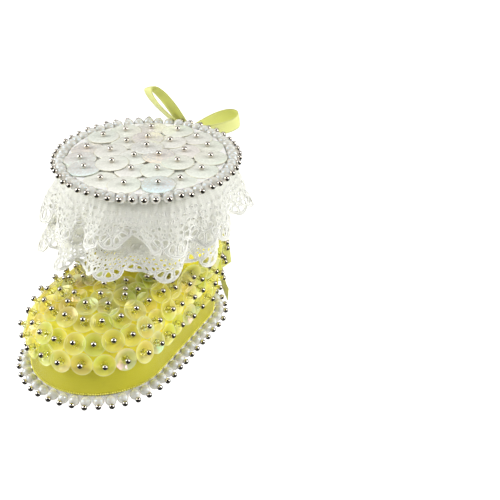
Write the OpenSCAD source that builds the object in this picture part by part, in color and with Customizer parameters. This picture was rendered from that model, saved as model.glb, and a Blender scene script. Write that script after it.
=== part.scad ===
// Sequin-pinned baby bootie ornament: a white foam bootie with a satin sole band,
// pearl rings, cupped sequins, a sequinned crown, two lace frills and a satin bow.
// +Z is up, the toe points towards -Y and the origin is under the sole.

/* [Foam form] */

// radius of the toe end of the foot, above the sole lip
toe_r = 27.2; // [22:0.1:32]
// distance of the toe circle's centre in front of the origin
toe_y = 21.3; // [16:0.1:26]
// radius of the heel end of the foot
heel_r = 19.3; // [15:0.1:24]
// distance of the heel circle's centre behind the origin
heel_y = 21.0; // [16:0.1:26]
// radius of the flat round crown
crown_r = 31.6; // [28:0.1:40]
// distance of the crown's centre behind the origin
crown_y = 12.3; // [6:0.1:18]
// height of the flat top
crown_z = 79.0; // [65:0.5:95]
// how far the sole lip stands out past the foot
lip_out = 0.6; // [0.4:0.1:3]
// height of the sole lip
lip_h = 3.6; // [2:0.1:6]
// height at which the toe starts to round over
dome_from = 12.0; // [8:0.5:18]
// height of the top of the toe
dome_top = 36.0; // [28:0.5:42]
// how far the instep leans back towards the ankle
instep_back = 9.0; // [4:0.5:14]
// rounding of the toe: 2 is an ellipse, larger is boxier
dome_power = 2.1; // [1.8:0.05:3]
// height at which the heel starts to flare towards the crown
flare_from = 14.0; // [8:0.5:24]

/* [Satin sole band] */

// height of the band's lower edge
band_z = 3.8; // [3:0.1:8]
// width of the satin ribbon
band_w = 12.0; // [8:0.5:16]
// thickness of the ribbon
band_t = 0.35; // [0.2:0.05:0.8]
// diameter of the corded edge along the bottom of the ribbon
band_cord = 0.7; // [0.4:0.05:1.2]
// length of the doubled overlap at the heel
band_lap = 9.0; // [4:0.5:16]

/* [Pearls] */

// pearl diameter
pearl_d = 4.2; // [3:0.1:6]
// number of pearls in the ring round the sole
base_count = 52; // [36:2:64]
// height of the sole pearls' centres
base_pearl_z = 2.6; // [2.1:0.1:4]
// number of pearls in the ring round the crown
rim_count = 50; // [36:2:60]
// height of the rim pearls' centres
rim_pearl_z = 78.2; // [70:0.1:90]
// how much the rim pins tip up at the toe side
rim_pin_tilt = 18; // [0:1:40]
// how much the rim pins tip up at the heel side
rim_pin_back = 2; // [0:1:40]

/* [Pins and beads] */

// radius of a pin's round head
head_r = 1.15; // [0.6:0.05:1.4]
// radius of a pin's wire
wire_r = 0.32; // [0.2:0.02:0.5]
// length of wire pushed into the foam
wire_in = 11; // [6:0.5:15]
// diameter of a glass seed bead
bead_d = 3.0; // [2:0.1:4]
// length of a glass seed bead
bead_h = 2.3; // [1.5:0.1:3]

/* [Cupped sequins] */

// diameter of a cupped sequin
cup_d = 9.0; // [6:0.1:10]
// depth of the cup
cup_depth = 1.35; // [0.6:0.05:2.4]
// thickness of the film
cup_t = 0.22; // [0.12:0.02:0.5]
// diameter of the flat in the middle of the cup
cup_flat = 2.6; // [1.6:0.1:4]
// extra lift of every second sequin, so that neighbours lap
cup_lift = 0.58; // [0.3:0.02:1.2]

/* [Crown sequins] */

// diameter of a flat crown sequin
disc_d = 13.0; // [8:0.5:14]
// thickness of a flat sequin
disc_t = 0.2; // [0.12:0.02:0.5]
// number in the outer round
disc_outer = 15; // [10:1:20]
// radius of the outer round
disc_outer_r = 25.2; // [20:0.1:30]
// number in the middle round
disc_middle = 9; // [6:1:12]
// radius of the middle round
disc_middle_r = 14.4; // [10:0.1:20]
// number in the inner round
disc_inner = 3; // [1:1:6]
// radius of the inner round
disc_inner_r = 5.0; // [0:0.1:9]

/* [Lace frills] */

// height of the upper frill's hem
upper_hem_z = 56.5; // [50:0.5:66]
// mean radius of the upper frill's hem
upper_hem_r = 38.0; // [34:0.5:46]
// number of folds in the upper frill
upper_folds = 11; // [8:1:20]
// height of the lower frill's hem
lower_hem_z = 43.5; // [38:0.5:52]
// mean radius of the lower frill's hem
lower_hem_r = 35.0; // [32:0.5:44]
// number of folds in the lower frill
lower_folds = 11; // [8:1:20]
// depth of the folds at the hem
fold_amp = 3.0; // [0.5:0.1:5]
// how far the upper hem hangs towards the right of the toe
upper_shift = 0.9; // [0:0.1:6]
// how far the lower hem hangs towards the right of the toe
lower_shift = 4.0; // [0:0.1:8]
// thickness of the gathered lace
lace_t = 0.8; // [0.4:0.1:1.5]
// depth of the scallops along the hem
scallop = 2.4; // [0:0.1:5]

/* [Bow] */

// width of the bow ribbon
bow_w = 7.0; // [4:0.5:10]
// thickness of the bow ribbon
bow_t = 0.4; // [0.25:0.05:0.8]
// length of the upright left loop
left_len = 25; // [16:0.5:36]
// half the opening of the left loop
left_fat = 3.4; // [2:0.1:7]
// length of the right loop, which points backwards
right_len = 21.5; // [16:0.5:36]
// half the opening of the right loop
right_fat = 5.0; // [2:0.1:7]
// height of the bow's knot
knot_z = 73.2; // [66:0.1:80]
// sideways place of the knot
knot_x = -7.5; // [-10:0.5:10]
// how far the knot stands behind the origin
knot_y = 48.0; // [44:0.5:54]

/* [Hidden] */

c_foam = "#f2efe0";
c_satin = "#e9e25a";
c_pearl = "#f6f4ee";
c_steel = "#c9cbcf";
c_cup = "#ece78c";
c_bead = "#e8f0ee";
c_lace = "#f4f4ef";
c_disc = "#f0efe8";
c_bow = "#e6e88c";

head_gap = 0.05;
fine = 0.05;

// The foot and ankle are one stack of level outlines. Each outline is a toe circle and
// a heel circle joined by their outer tangents: [toe r, toe y, heel r, heel y].
function mix(a, b, t) = a + (b - a) * t;
function limit(v, a, b) = min(b, max(a, v));
function ease(t) = t * t * (3 - 2 * t);
function flare(z) = limit((z - flare_from) / (crown_z - flare_from), 0, 1);
function back_r(z) = mix(heel_r, crown_r, flare(z));
function back_y(z) = mix(heel_y, crown_y, flare(z));
function dome(z) = limit((z - dome_from) / (dome_top - dome_from), 0, 1);
function front_r0(z) = z <= dome_from ? toe_r
    : z < dome_top ? toe_r * sqrt(max(0, 1 - pow(dome(z), dome_power))) : 0.02;
function front_y0(z) = -toe_y + instep_back * pow(dome(z), 4) + 0.5 * max(0, z - dome_top);
function swallowed(z) = front_y0(z) - front_r0(z) > back_y(z) - back_r(z);
function front_r(z) = swallowed(z) ? 0.02 : max(0.02, front_r0(z));
function front_y(z) = swallowed(z) ? back_y(z) - back_r(z) + 0.03 : front_y0(z);

// One outline with an outward growth g: tangent angle, arc lengths and half perimeter.
function outline(z, g = 0) = let (rt = front_r(z) + g, yt = front_y(z), rs = back_r(z) + g,
    ys = back_y(z), d = ys - yt, a = asin(limit((rt - rs) / d, -1, 1)),
    la = rt * (90 + a) * PI / 180, ls = sqrt(max(0, d * d - (rt - rs) * (rt - rs))),
    lh = rs * (90 - a) * PI / 180) [rt, yt, rs, ys, a, la, ls, lh, la + ls + lh];

// Point on an outline, s = signed length from the toe tip (plus to +X).
function along(o, s) = let (q = abs(s), k = s < 0 ? -1 : 1, ph = 90 + o[4])
    q <= o[5] ? let (b = q / o[0] * 180 / PI) [k * o[0] * sin(b), o[1] - o[0] * cos(b)]
    : q <= o[5] + o[6] ? let (t = (q - o[5]) / o[6])
        [k * mix(o[0], o[2], t) * sin(ph), mix(o[1] - o[0] * cos(ph), o[3] - o[2] * cos(ph), t)]
    : let (b = ph + (q - o[5] - o[6]) / o[2] * 180 / PI)
        [k * o[2] * sin(b), o[3] - o[2] * cos(b)];
function on_form(z, f) = let (o = outline(z), p = along(o, f * o[8])) [p[0], p[1], z];
function unit(v) = v / max(1e-9, norm(v));
function out_normal(z, f) = let (
    n = unit(cross(on_form(z, f + 0.004) - on_form(z, f - 0.004),
        on_form(z + fine, f) - on_form(z - fine, f)))) n;

// A row of sequins climbs from its toe height to its heel height.
// [toe z, heel z, count, how far round it reaches (1 = all round), phase]
rows = [[18.3, 18.0, 30, 1, 0.36], [24.3, 26.0, 32, 1, -0.17], [29.2, 33.2, 30, 1, -0.32],
    [31.9, 40.0, 26, 1, 0.25], [33.4, 39.5, 9, 0.42, 0.1], [34.6, 39.5, 6, 0.30, 0.4],
    [35.4, 40.0, 3, 0.16, 0.0]];
function row_z(k, f) = mix(rows[k][0], rows[k][1], ease(limit(abs(f) * 1.25, 0, 1)));
row_steps = 150;
function row_f(k, i) = (2 * i / row_steps - 1) * rows[k][3];
function row_path(k) = [for (i = [0:row_steps]) let (f = row_f(k, i)) on_form(row_z(k, f), f)];
function running(p) = [for (i = 0, a = 0; i < len(p);
    a = a + (i + 1 < len(p) ? norm(p[i + 1] - p[i]) : 0), i = i + 1) a];
function seek(c, v, i = 0) = (i >= len(c) - 2 || c[i + 1] >= v) ? i : seek(c, v, i + 1);
function row_places(k) = let (p = row_path(k), c = running(p), n = rows[k][2],
    whole = rows[k][3] >= 1, last = c[len(c) - 1])
    [for (i = [0:n - 1]) let (
        v = whole ? ((i + 0.5 + rows[k][4]) / n) * last
            : (n == 1 ? 0.5 : (i + 0.5 + 0.5 * rows[k][4]) / (n + 0.5)) * last,
        w = v > last ? v - last : (v < 0 ? v + last : v), j = seek(c, w),
        t = (w - c[j]) / max(1e-6, c[j + 1] - c[j]), f = mix(row_f(k, j), row_f(k, j + 1), t))
        [row_z(k, f), f]];

// Turns +Z onto the direction n at the point p.
module stand(p, n) {
    translate(p) rotate([0, 0, atan2(n[1], n[0])]) rotate([0, acos(limit(n[2], -1, 1)), 0]) children();
}

module in_row(k) {
    places = row_places(k);
    for (i = [0:len(places) - 1]) {
        q = places[i];
        stand(on_form(q[0], q[1]), out_normal(q[0], q[1]))
            translate([0, 0, 0.25 + (i % 2) * cup_lift]) children();
    }
}

// One sequin: a flat middle with a cone-shaped brim, seen as its turned profile.
module cup() {
    rotate_extrude($fn = 28) polygon([[0, 0], [cup_flat / 2, 0], [cup_d / 2, cup_depth],
        [cup_d / 2, cup_depth + cup_t], [cup_flat / 2 - 0.05, cup_t], [0, cup_t]]);
}

// One seed bead: a short rounded barrel standing on the sequin.
module bead() {
    translate([0, 0, cup_t + 0.05]) rotate_extrude($fn = 24) polygon([[0, 0], [bead_d * 0.3, 0],
        [bead_d / 2, bead_h * 0.28], [bead_d / 2, bead_h * 0.72], [bead_d * 0.3, bead_h],
        [0, bead_h]]);
}

// One pin: a ball head on a straight wire that runs back down the axis.
module pin(top, wire) {
    translate([0, 0, top]) sphere(r = head_r, $fn = 28);
    translate([0, 0, top - wire]) cylinder(r = wire_r, h = wire, $fn = 24);
}

bead_top = cup_t + 0.05 + bead_h;
module row_pin() {
    pin(bead_top + head_gap + head_r * 0.8, bead_top + wire_in);
}

module cup_sequins_row1() color(c_cup) in_row(0) cup();
module beads_row1() color(c_bead) in_row(0) bead();
module pins_row1() color(c_steel) in_row(0) row_pin();
module cup_sequins_row2() color(c_cup) in_row(1) cup();
module beads_row2() color(c_bead) in_row(1) bead();
module pins_row2() color(c_steel) in_row(1) row_pin();
module cup_sequins_row3() color(c_cup) in_row(2) cup();
module beads_row3() color(c_bead) in_row(2) bead();
module pins_row3() color(c_steel) in_row(2) row_pin();
module cup_sequins_row4() color(c_cup) in_row(3) cup();
module beads_row4() color(c_bead) in_row(3) bead();
module pins_row4() color(c_steel) in_row(3) row_pin();
module cup_sequins_row5() color(c_cup) in_row(4) cup();
module beads_row5() color(c_bead) in_row(4) bead();
module pins_row5() color(c_steel) in_row(4) row_pin();
module cup_sequins_row6() color(c_cup) in_row(5) cup();
module beads_row6() color(c_bead) in_row(5) bead();
module pins_row6() color(c_steel) in_row(5) row_pin();
module cup_sequins_row7() color(c_cup) in_row(6) cup();
module beads_row7() color(c_bead) in_row(6) bead();
module pins_row7() color(c_steel) in_row(6) row_pin();

module foot_outline(g) {
    o = outline(8, g);
    ph = 90 + o[4];
    translate([0, o[1]]) circle(r = o[0], $fn = 96);
    translate([0, o[3]]) circle(r = o[2], $fn = 96);
    polygon([[o[0] * sin(ph), o[1] - o[0] * cos(ph)], [o[2] * sin(ph), o[3] - o[2] * cos(ph)],
        [-o[2] * sin(ph), o[3] - o[2] * cos(ph)], [-o[0] * sin(ph), o[1] - o[0] * cos(ph)]]);
}

// Closed band between two rings of points: rings is a list of loops, outside first.
module shell(rings) {
    m = len(rings);
    n = len(rings[0]);
    pts = [for (r = rings) each r];
    faces = [for (j = [0:m - 1], i = [0:n - 1]) let (a = j * n + i, b = j * n + (i + 1) % n,
        c = ((j + 1) % m) * n + (i + 1) % n, d = ((j + 1) % m) * n + i) each [[a, d, c], [a, c, b]]];
    polyhedron(points = pts, faces = faces, convexity = 8);
}

// A solid stack of loops with flat ends.
module stack(rings) {
    m = len(rings);
    n = len(rings[0]);
    pts = [for (r = rings) each r];
    sides = [for (j = [0:m - 2], i = [0:n - 1]) let (a = j * n + i, b = j * n + (i + 1) % n,
        c = (j + 1) * n + (i + 1) % n, d = (j + 1) * n + i) each [[a, d, c], [a, c, b]]];
    polyhedron(points = pts, faces = concat([[for (i = [0:n - 1]) i]],
        sides, [[for (i = [n - 1:-1:0]) (m - 1) * n + i]]), convexity = 4);
}

form_n = 72;
form_z = [4.2, 8, 12, 15, 18, 21, 24, 26.5, 29, 31, 32.8, 34.2, 35.3, 36, 38, 41, 45, 52, 60, 70, 79];
module foam_form() color(c_foam) {
    linear_extrude(height = lip_h) foot_outline(lip_out);
    stack([for (z = form_z) let (zz = min(z, crown_z)) [for (i = [0:form_n - 1])
        on_form(zz, 2 * i / form_n - 1)]]);
}

module sole_ribbon() color(c_satin) {
    translate([0, 0, band_z]) linear_extrude(height = band_w) difference() {
        foot_outline(band_t + 0.05);
        foot_outline(0.05);
    }
    // the end lies over the start at the back of the heel
    translate([0, 0, band_z]) linear_extrude(height = band_w) intersection() {
        difference() {
            foot_outline(2 * band_t + 0.05);
            foot_outline(band_t);
        }
        translate([-band_lap / 2, heel_y]) square([band_lap, heel_r + 5]);
    }
}

module sole_ribbon_edge() color(c_satin) {
    translate([0, 0, band_z - band_cord * 0.4]) linear_extrude(height = band_cord * 0.8) difference() {
        foot_outline(band_t + band_cord * 0.6);
        foot_outline(0.1);
    }
}

module round_sole(count, g) {
    o = outline(8, g);
    for (i = [0:count - 1]) {
        s = ((i + 0.5) / count * 2 - 1) * o[8];
        p = along(o, s);
        e = along(o, s + 0.5) - along(o, s - 0.5);
        stand([p[0], p[1], base_pearl_z], unit([e[1], -e[0], 0])) children();
    }
}

pearl_r = pearl_d / 2;
module base_pearls() color(c_pearl)
    round_sole(base_count, lip_out + pearl_r + 0.02) sphere(r = pearl_r, $fn = 28);

module base_pearl_pins() color(c_steel)
    round_sole(base_count, lip_out + pearl_r + 0.02)
        pin(pearl_r + head_r * 0.6, pearl_d + wire_in);

module round_rim() {
    for (i = [0:rim_count - 1]) {
        a = (i + 0.5) * 360 / rim_count;
        tip = mix(rim_pin_back, rim_pin_tilt, 0.5 + 0.5 * cos(a));
        n = [sin(a) * cos(tip), -cos(a) * cos(tip), sin(tip)];
        stand([(crown_r + pearl_r) * sin(a), crown_y - (crown_r + pearl_r) * cos(a), rim_pearl_z], n)
            children();
    }
}

module rim_pearls() color(c_pearl) round_rim() sphere(r = pearl_r, $fn = 28);
module rim_pearl_pins() color(c_steel) round_rim() pin(pearl_r + head_r * 0.6, pearl_d + wire_in);

// The crown: three rounds of flat sequins, each lapping the one outside it.
module round_crown(count, r, phase, base) {
    for (i = [0:count - 1]) {
        a = phase + i * 360 / count;
        translate([r * sin(a), crown_y - r * cos(a), crown_z + base + (i % 3) * (disc_t + 0.05)])
            children();
    }
}
outer_z = 0.08;
middle_z = outer_z + 3 * (disc_t + 0.05);
inner_z = middle_z + 3 * (disc_t + 0.05);
module disc() { cylinder(d = disc_d, h = disc_t, $fn = 48); }
module crown_sequins_outer() color(c_disc) round_crown(disc_outer, disc_outer_r, 0, outer_z) disc();
module crown_sequins_middle() color(c_disc) round_crown(disc_middle, disc_middle_r, 18, middle_z) disc();
module crown_sequins_inner() color(c_disc) round_crown(disc_inner, disc_inner_r, -20, inner_z) disc();
module crown_pins() color(c_steel) {
    round_crown(disc_outer, disc_outer_r, 0, outer_z) pin(disc_t + head_r * 0.9, wire_in);
    round_crown(disc_middle, disc_middle_r, 18, middle_z) pin(disc_t + head_r * 0.9, wire_in);
    round_crown(disc_inner, disc_inner_r, -20, inner_z) pin(disc_t + head_r * 0.9, wire_in);
}

// A frill hangs from radius r0 at z0 down to its hem, its folds growing as it falls. Its hem's
// centre moves aside by c, and it never comes closer to the leg than the lace's own thickness.
lace_n = 120;
lace_m = 6;
function frill_r(a, t, r0, r1, folds) = r0 + (r1 - r0) * sin(90 * pow(t, 0.8))
    + fold_amp * t * cos(a * folds) + 0.25 * fold_amp * t * sin(a * (folds - 5) + 70);
function frill_z(a, t, z0, z1, folds) = mix(z0, z1, t)
    + scallop * pow(t, 3) * (0.5 - abs(sin(a * folds)));
function clear_of_leg(p, z, gap) = let (c = [0, back_y(z)], d = [p[0], p[1]] - c,
    q = c + d * max(1, (back_r(z) + gap) / norm(d))) [q[0], q[1], z];
function frill_ring(t, off, r0, z0, r1, z1, folds, c) = [for (i = [0:lace_n - 1]) let (
    a = i * 360 / lace_n, z = frill_z(a, t, z0, z1, folds), r = frill_r(a, t, r0, r1, folds) + off)
    clear_of_leg([c[0] * t + r * sin(a), mix(back_y(z0), c[1], t) - r * cos(a)], z, 0.3 + off)];
module frill(r0, z0, r1, z1, folds, c) {
    shell(concat([for (j = [0:lace_m]) frill_ring(j / lace_m, lace_t, r0, z0, r1, z1, folds, c)],
        [for (j = [lace_m:-1:0]) frill_ring(j / lace_m, 0, r0, z0, r1, z1, folds, c)]));
}
upper_top = rim_pearl_z - 2.4;
lower_top = upper_hem_z + 5.5;
module lace_upper() color(c_lace) frill(back_r(upper_top) + 0.9, upper_top, upper_hem_r, upper_hem_z,
    upper_folds, [-upper_shift, crown_y - 0.7 * upper_shift]);
module lace_lower() color(c_lace) frill(back_r(lower_top) + 0.6, lower_top, lower_hem_r, lower_hem_z,
    lower_folds, [-lower_shift, crown_y - 0.75 * lower_shift]);

// The plain net heading of the upper frill, pinned round the crown under the pearls.
module lace_heading() color(c_lace) {
    z1 = rim_pearl_z - pearl_r * 0.3;
    z0 = upper_top - 3.5;
    n = 96;
    ring = function (z, off) [for (i = [0:n - 1]) let (a = i * 360 / n, r = back_r(z) + off)
        [r * sin(a), back_y(z) - r * cos(a), z]];
    shell([ring(z1, 0.55), ring(z0, 0.9), ring(z0, 0.05), ring(z1, 0.05)]);
}

// The bow. A loop is a drop-shaped band of ribbon drawn in its own flat plane.
loop_n = 40;
function drop(t, len, fat) = let (a = t * 360) [len * (1 - cos(a)) / 2,
    fat * sin(a) * pow(sin(a / 2), 1.4)];
module loop_band(len, fat) {
    difference() {
        polygon([for (i = [0:loop_n - 1]) drop(i / loop_n, len + bow_t, fat + bow_t)]);
        translate([bow_t * 1.6, 0])
            polygon([for (i = [0:loop_n - 1]) drop(i / loop_n, len - bow_t * 1.4, fat - bow_t * 0.4)]);
    }
}
// Stands a loop along the direction a, its ribbon's width along w.
module loop_along(a, w, len, fat) {
    n = cross(a, w);
    multmatrix([[a[0], n[0], w[0], knot_x], [a[1], n[1], w[1], knot_y], [a[2], n[2], w[2], knot_z],
        [0, 0, 0, 1]]) translate([1.2, 0, -bow_w / 2]) linear_extrude(height = bow_w) loop_band(len, fat);
}
left_a = unit([-0.706, -0.157, 0.686]);
left_w = unit(cross(cross(left_a, [0.698, -0.331, 0.635]), left_a));
right_a = unit([0.543, 0.82, 0.18]);
right_w = unit(cross(cross(right_a, [0.063, -0.253, 0.96]), right_a));
module bow_loop_left() color(c_bow) loop_along(left_a, left_w, left_len, left_fat);
module bow_loop_right() color(c_bow) loop_along(right_a, right_w, right_len, right_fat);
module bow_knot() color(c_bow) translate([knot_x, knot_y, knot_z]) rotate([90, 0, 0])
    translate([0, 0, -2.2]) cylinder(r = 3.1, h = 4.4, $fn = 32);

// A tail is a strip that falls behind the frills and curls in round the heel: c holds the four
// points that steer it, and its face turns from f0 at the knot to f1 at its cut end.
function tail_point(u, c) = let (t = limit(u, 0, 1), s = 1 - t)
    s * s * s * c[0] + 3 * s * s * t * c[1] + 3 * s * t * t * c[2] + t * t * t * c[3];
tail_n = 18;
module tail(c, f0, f1) {
    rings = [for (i = [0:tail_n]) let (t = i / tail_n, p = tail_point(t, c),
        d = unit(tail_point(t + 0.02, c) - tail_point(t - 0.02, c)),
        w = unit(cross(d, f0 * (1 - t) + f1 * t)), n = unit(cross(d, w)),
        h = bow_w / 2 * mix(0.55, 1, min(1, t * 4)), e = i == tail_n ? 1.6 : 0)
        [p - w * h - n * bow_t / 2 + d * e, p + w * h - n * bow_t / 2 - d * e,
            p + w * h + n * bow_t / 2 - d * e, p - w * h + n * bow_t / 2 + d * e]];
    stack(rings);
}
tail_from = [knot_x, knot_y + 1, knot_z - 1];
module bow_tail_long() color(c_bow)
    tail([tail_from, [-12, 68, 40], [2, 52, 4.2], [16.3, 42.7, 4.4]], [0.25, 1, 0], [0.58, 0.81, 0]);
module bow_tail_short() color(c_bow)
    tail([tail_from, [-12, 66, 56], [1, 56, 34], [12.7, 44.3, 16.8]], [0.25, 1, 0], [-0.6, 0.8, 0]);
module bow_pin() color(c_steel) translate([knot_x, knot_y, knot_z]) rotate([-90, 0, 0])
    pin(2.2 + head_r * 0.7, wire_in + 6);

foam_form();
sole_ribbon();
sole_ribbon_edge();
base_pearls();
base_pearl_pins();
cup_sequins_row1();
beads_row1();
pins_row1();
cup_sequins_row2();
beads_row2();
pins_row2();
cup_sequins_row3();
beads_row3();
pins_row3();
cup_sequins_row4();
beads_row4();
pins_row4();
cup_sequins_row5();
beads_row5();
pins_row5();
cup_sequins_row6();
beads_row6();
pins_row6();
cup_sequins_row7();
beads_row7();
pins_row7();
lace_lower();
lace_upper();
lace_heading();
rim_pearls();
rim_pearl_pins();
crown_sequins_outer();
crown_sequins_middle();
crown_sequins_inner();
crown_pins();
bow_loop_left();
bow_loop_right();
bow_knot();
bow_tail_long();
bow_tail_short();
bow_pin();
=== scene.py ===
"""A sequin-pinned baby bootie ornament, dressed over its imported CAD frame.

The foam form carries a satin sole band, two rings of pearls, rows of cupped sequins
with glass beads and ball-head pins, a crown of flat sequins, two gathered lace frills
and a satin bow. Sizes are in millimetres inside the classes and in metres in meshes.
"""
import logging
import math
import random
from dataclasses import dataclass, field
from enum import Enum
from typing import Callable, Iterable, Sequence

import bmesh
import bpy
from mathutils import Matrix, Vector


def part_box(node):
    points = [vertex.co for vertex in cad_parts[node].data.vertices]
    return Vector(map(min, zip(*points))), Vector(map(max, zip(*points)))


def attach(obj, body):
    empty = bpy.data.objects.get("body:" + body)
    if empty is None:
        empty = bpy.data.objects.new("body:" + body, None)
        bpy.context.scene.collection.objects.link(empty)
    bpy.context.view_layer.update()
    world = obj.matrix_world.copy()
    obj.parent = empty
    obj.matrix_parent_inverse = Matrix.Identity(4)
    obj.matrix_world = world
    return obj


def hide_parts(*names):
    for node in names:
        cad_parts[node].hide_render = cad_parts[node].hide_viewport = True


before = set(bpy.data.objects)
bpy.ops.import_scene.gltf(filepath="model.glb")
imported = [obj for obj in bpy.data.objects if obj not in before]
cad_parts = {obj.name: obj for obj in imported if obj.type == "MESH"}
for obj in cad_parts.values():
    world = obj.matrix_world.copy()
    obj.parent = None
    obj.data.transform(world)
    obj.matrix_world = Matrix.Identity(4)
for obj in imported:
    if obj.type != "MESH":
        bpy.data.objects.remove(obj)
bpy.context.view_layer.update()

MM = 0.001
HEAD_R = 1.15
WIRE_R = 0.3
PEARL_R = 2.1
SIDE_Z = 8.0
LOG = logging.getLogger("bootie")
Colour = tuple[float, float, float, float]


class Slot(Enum):
    """The record's material slots, handed to the new pieces but not read by them."""

    FOAM = "foam"
    SOLE_SATIN = "sole_satin"
    PEARL = "pearl"
    STEEL = "pin_steel"
    CUP = "yellow_sequin"
    BEAD = "seed_bead"
    LACE = "lace"
    DISC = "white_sequin"
    BOW = "bow_satin"


# --------------------------------------------------------------------------- mesh helpers


def mix(a: float, b: float, t: float) -> float:
    """Blend from a to b as t goes from 0 to 1."""
    return a + (b - a) * t


def ease(t: float) -> float:
    """Smooth step of t held between 0 and 1."""
    t = min(1.0, max(0.0, t))
    return t * t * (3.0 - 2.0 * t)


def frame_at(place: Vector, normal: Vector, turn: float = 0.0) -> Matrix:
    """Matrix that stands +Z along a normal at a place, then turns about it.

    Args:
        place: where the local origin goes.
        normal: the direction local +Z takes.
        turn: angle about the normal, in radians.

    Returns:
        The placing matrix.
    """
    spin = Vector((0, 0, 1)).rotation_difference(normal.normalized())
    return Matrix.Translation(place) @ spin.to_matrix().to_4x4() @ Matrix.Rotation(turn, 4, "Z")


def turned(profile: Sequence[tuple[float, float]], steps: int) -> bmesh.types.BMesh:
    """Spin a (radius, height) profile about +Z into a closed-round shell.

    Args:
        profile: points from the start of the wall to its end, in millimetres.
        steps: how many faces go round.

    Returns:
        A new bmesh with a UV map that holds each point's own x and y.
    """
    bm = bmesh.new()
    verts = [bm.verts.new((r, 0.0, z)) for r, z in profile]
    edges = [bm.edges.new(pair) for pair in zip(verts, verts[1:])]
    bmesh.ops.spin(bm, geom=verts + edges, cent=(0, 0, 0), axis=(0, 0, 1),
                   angle=math.tau, steps=steps, use_merge=True, use_duplicate=False)
    bmesh.ops.remove_doubles(bm, verts=bm.verts, dist=1e-5)
    bmesh.ops.recalc_face_normals(bm, faces=bm.faces)
    own = bm.loops.layers.uv.new("own")
    for face in bm.faces:
        face.smooth = True
        for loop in face.loops:
            loop[own].uv = (loop.vert.co.x, loop.vert.co.y)
    return bm


def stamped(master: bmesh.types.BMesh, places: Iterable[Matrix],
            rng: random.Random) -> bmesh.types.BMesh:
    """Repeat one shape at many places, each with its own chance value.

    Args:
        master: the shape, in millimetres; it is freed.
        places: one matrix for each copy.
        rng: the seeded source of the chance values.

    Returns:
        A bmesh of all the copies, with a vertex layer named "chance".
    """
    mesh = bpy.data.meshes.new("stamp")
    master.to_mesh(mesh)
    master.free()
    bm = bmesh.new()
    bm.verts.layers.float.new("chance")
    for matrix in places:
        start = len(bm.verts)
        bm.from_mesh(mesh)
        bm.verts.ensure_lookup_table()
        fresh = bm.verts[start:]
        bmesh.ops.transform(bm, matrix=matrix, verts=fresh)
        chance = bm.verts.layers.float["chance"]
        value = rng.random()
        for vert in fresh:
            vert[chance] = value
    bpy.data.meshes.remove(mesh)
    return bm


def sheet_over(place: Callable[[float, float], Vector], across: int, down: int,
               size: tuple[float, float], closed: bool = False) -> bmesh.types.BMesh:
    """Lay a grid over a surface given as a function of two fractions.

    Args:
        place: gives the point, in millimetres, for fractions (u, v).
        across: faces along u.
        down: faces along v.
        size: the flat length and width, in millimetres, kept in the UV map "cloth".
        closed: whether the end along u meets the start.

    Returns:
        The new bmesh.
    """
    bm = bmesh.new()
    bmesh.ops.create_grid(bm, x_segments=across, y_segments=down, size=1.0)
    cloth = bm.loops.layers.uv.new("cloth")
    for face in bm.faces:
        face.smooth = True
        for loop in face.loops:
            u, v = (loop.vert.co.x + 1) / 2, (1 - loop.vert.co.y) / 2
            loop[cloth].uv = (u * size[0], v * size[1])
    for vert in bm.verts:
        vert.co = place((vert.co.x + 1) / 2, (1 - vert.co.y) / 2)
    if closed:
        bmesh.ops.remove_doubles(bm, verts=bm.verts, dist=1e-4)
    return bm


def finish_piece(name: str, bm: bmesh.types.BMesh, finish: bpy.types.Material, slot: Slot,
                 nodes: Sequence[str] = ()) -> bpy.types.Object:
    """Turn a bmesh in millimetres into a finished piece of the object.

    Args:
        name: the piece's name.
        bm: its shape; it is freed.
        finish: its material.
        slot: the record's slot it belongs to; not used.
        nodes: the CAD nodes it stands for.

    Returns:
        The new object, riding on the root body.
    """
    bmesh.ops.scale(bm, vec=(MM, MM, MM), verts=bm.verts)
    mesh = bpy.data.meshes.new(name)
    bm.to_mesh(mesh)
    bm.free()
    piece = bpy.data.objects.new(name, mesh)
    bpy.context.scene.collection.objects.link(piece)
    mesh.materials.append(finish)
    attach(piece, "root")
    if nodes:
        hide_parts(*nodes)
    LOG.info("%s: %d faces", name, len(mesh.polygons))
    return piece


def thread_piece(name: str, threads: Sequence[tuple[Sequence[Vector], float, bool]],
                 finish: bpy.types.Material, slot: Slot) -> bpy.types.Object:
    """Make one mesh of many fine threads drawn as curves.

    Args:
        name: the piece's name.
        threads: each thread's points in millimetres, its radius, and whether it closes.
        finish: its material.
        slot: the record's slot it belongs to; not used.

    Returns:
        The new object, riding on the root body.
    """
    curve = bpy.data.curves.new(name, "CURVE")
    curve.dimensions = "3D"
    curve.bevel_depth = MM
    curve.bevel_resolution = 0
    for points, radius, cyclic in threads:
        spline = curve.splines.new("POLY")
        spline.points.add(len(points) - 1)
        for knot, point in zip(spline.points, points):
            knot.co = (*(point * MM), 1.0)
            knot.radius = radius
        spline.use_cyclic_u = cyclic
        spline.use_smooth = True
    maker = bpy.data.objects.new(name, curve)
    bpy.context.scene.collection.objects.link(maker)
    bpy.context.view_layer.update()
    drawn = maker.evaluated_get(bpy.context.evaluated_depsgraph_get())
    mesh = bpy.data.meshes.new_from_object(drawn)
    bpy.data.objects.remove(maker)
    bpy.data.curves.remove(curve)
    mesh.name = name
    mesh.materials.clear()
    mesh.materials.append(finish)
    for face in mesh.polygons:
        face.use_smooth = True
        face.material_index = 0
    piece = bpy.data.objects.new(name, mesh)
    bpy.context.scene.collection.objects.link(piece)
    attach(piece, "root")
    LOG.info("%s: %d faces", name, len(mesh.polygons))
    return piece


# --------------------------------------------------------------------------- the foot


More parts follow.
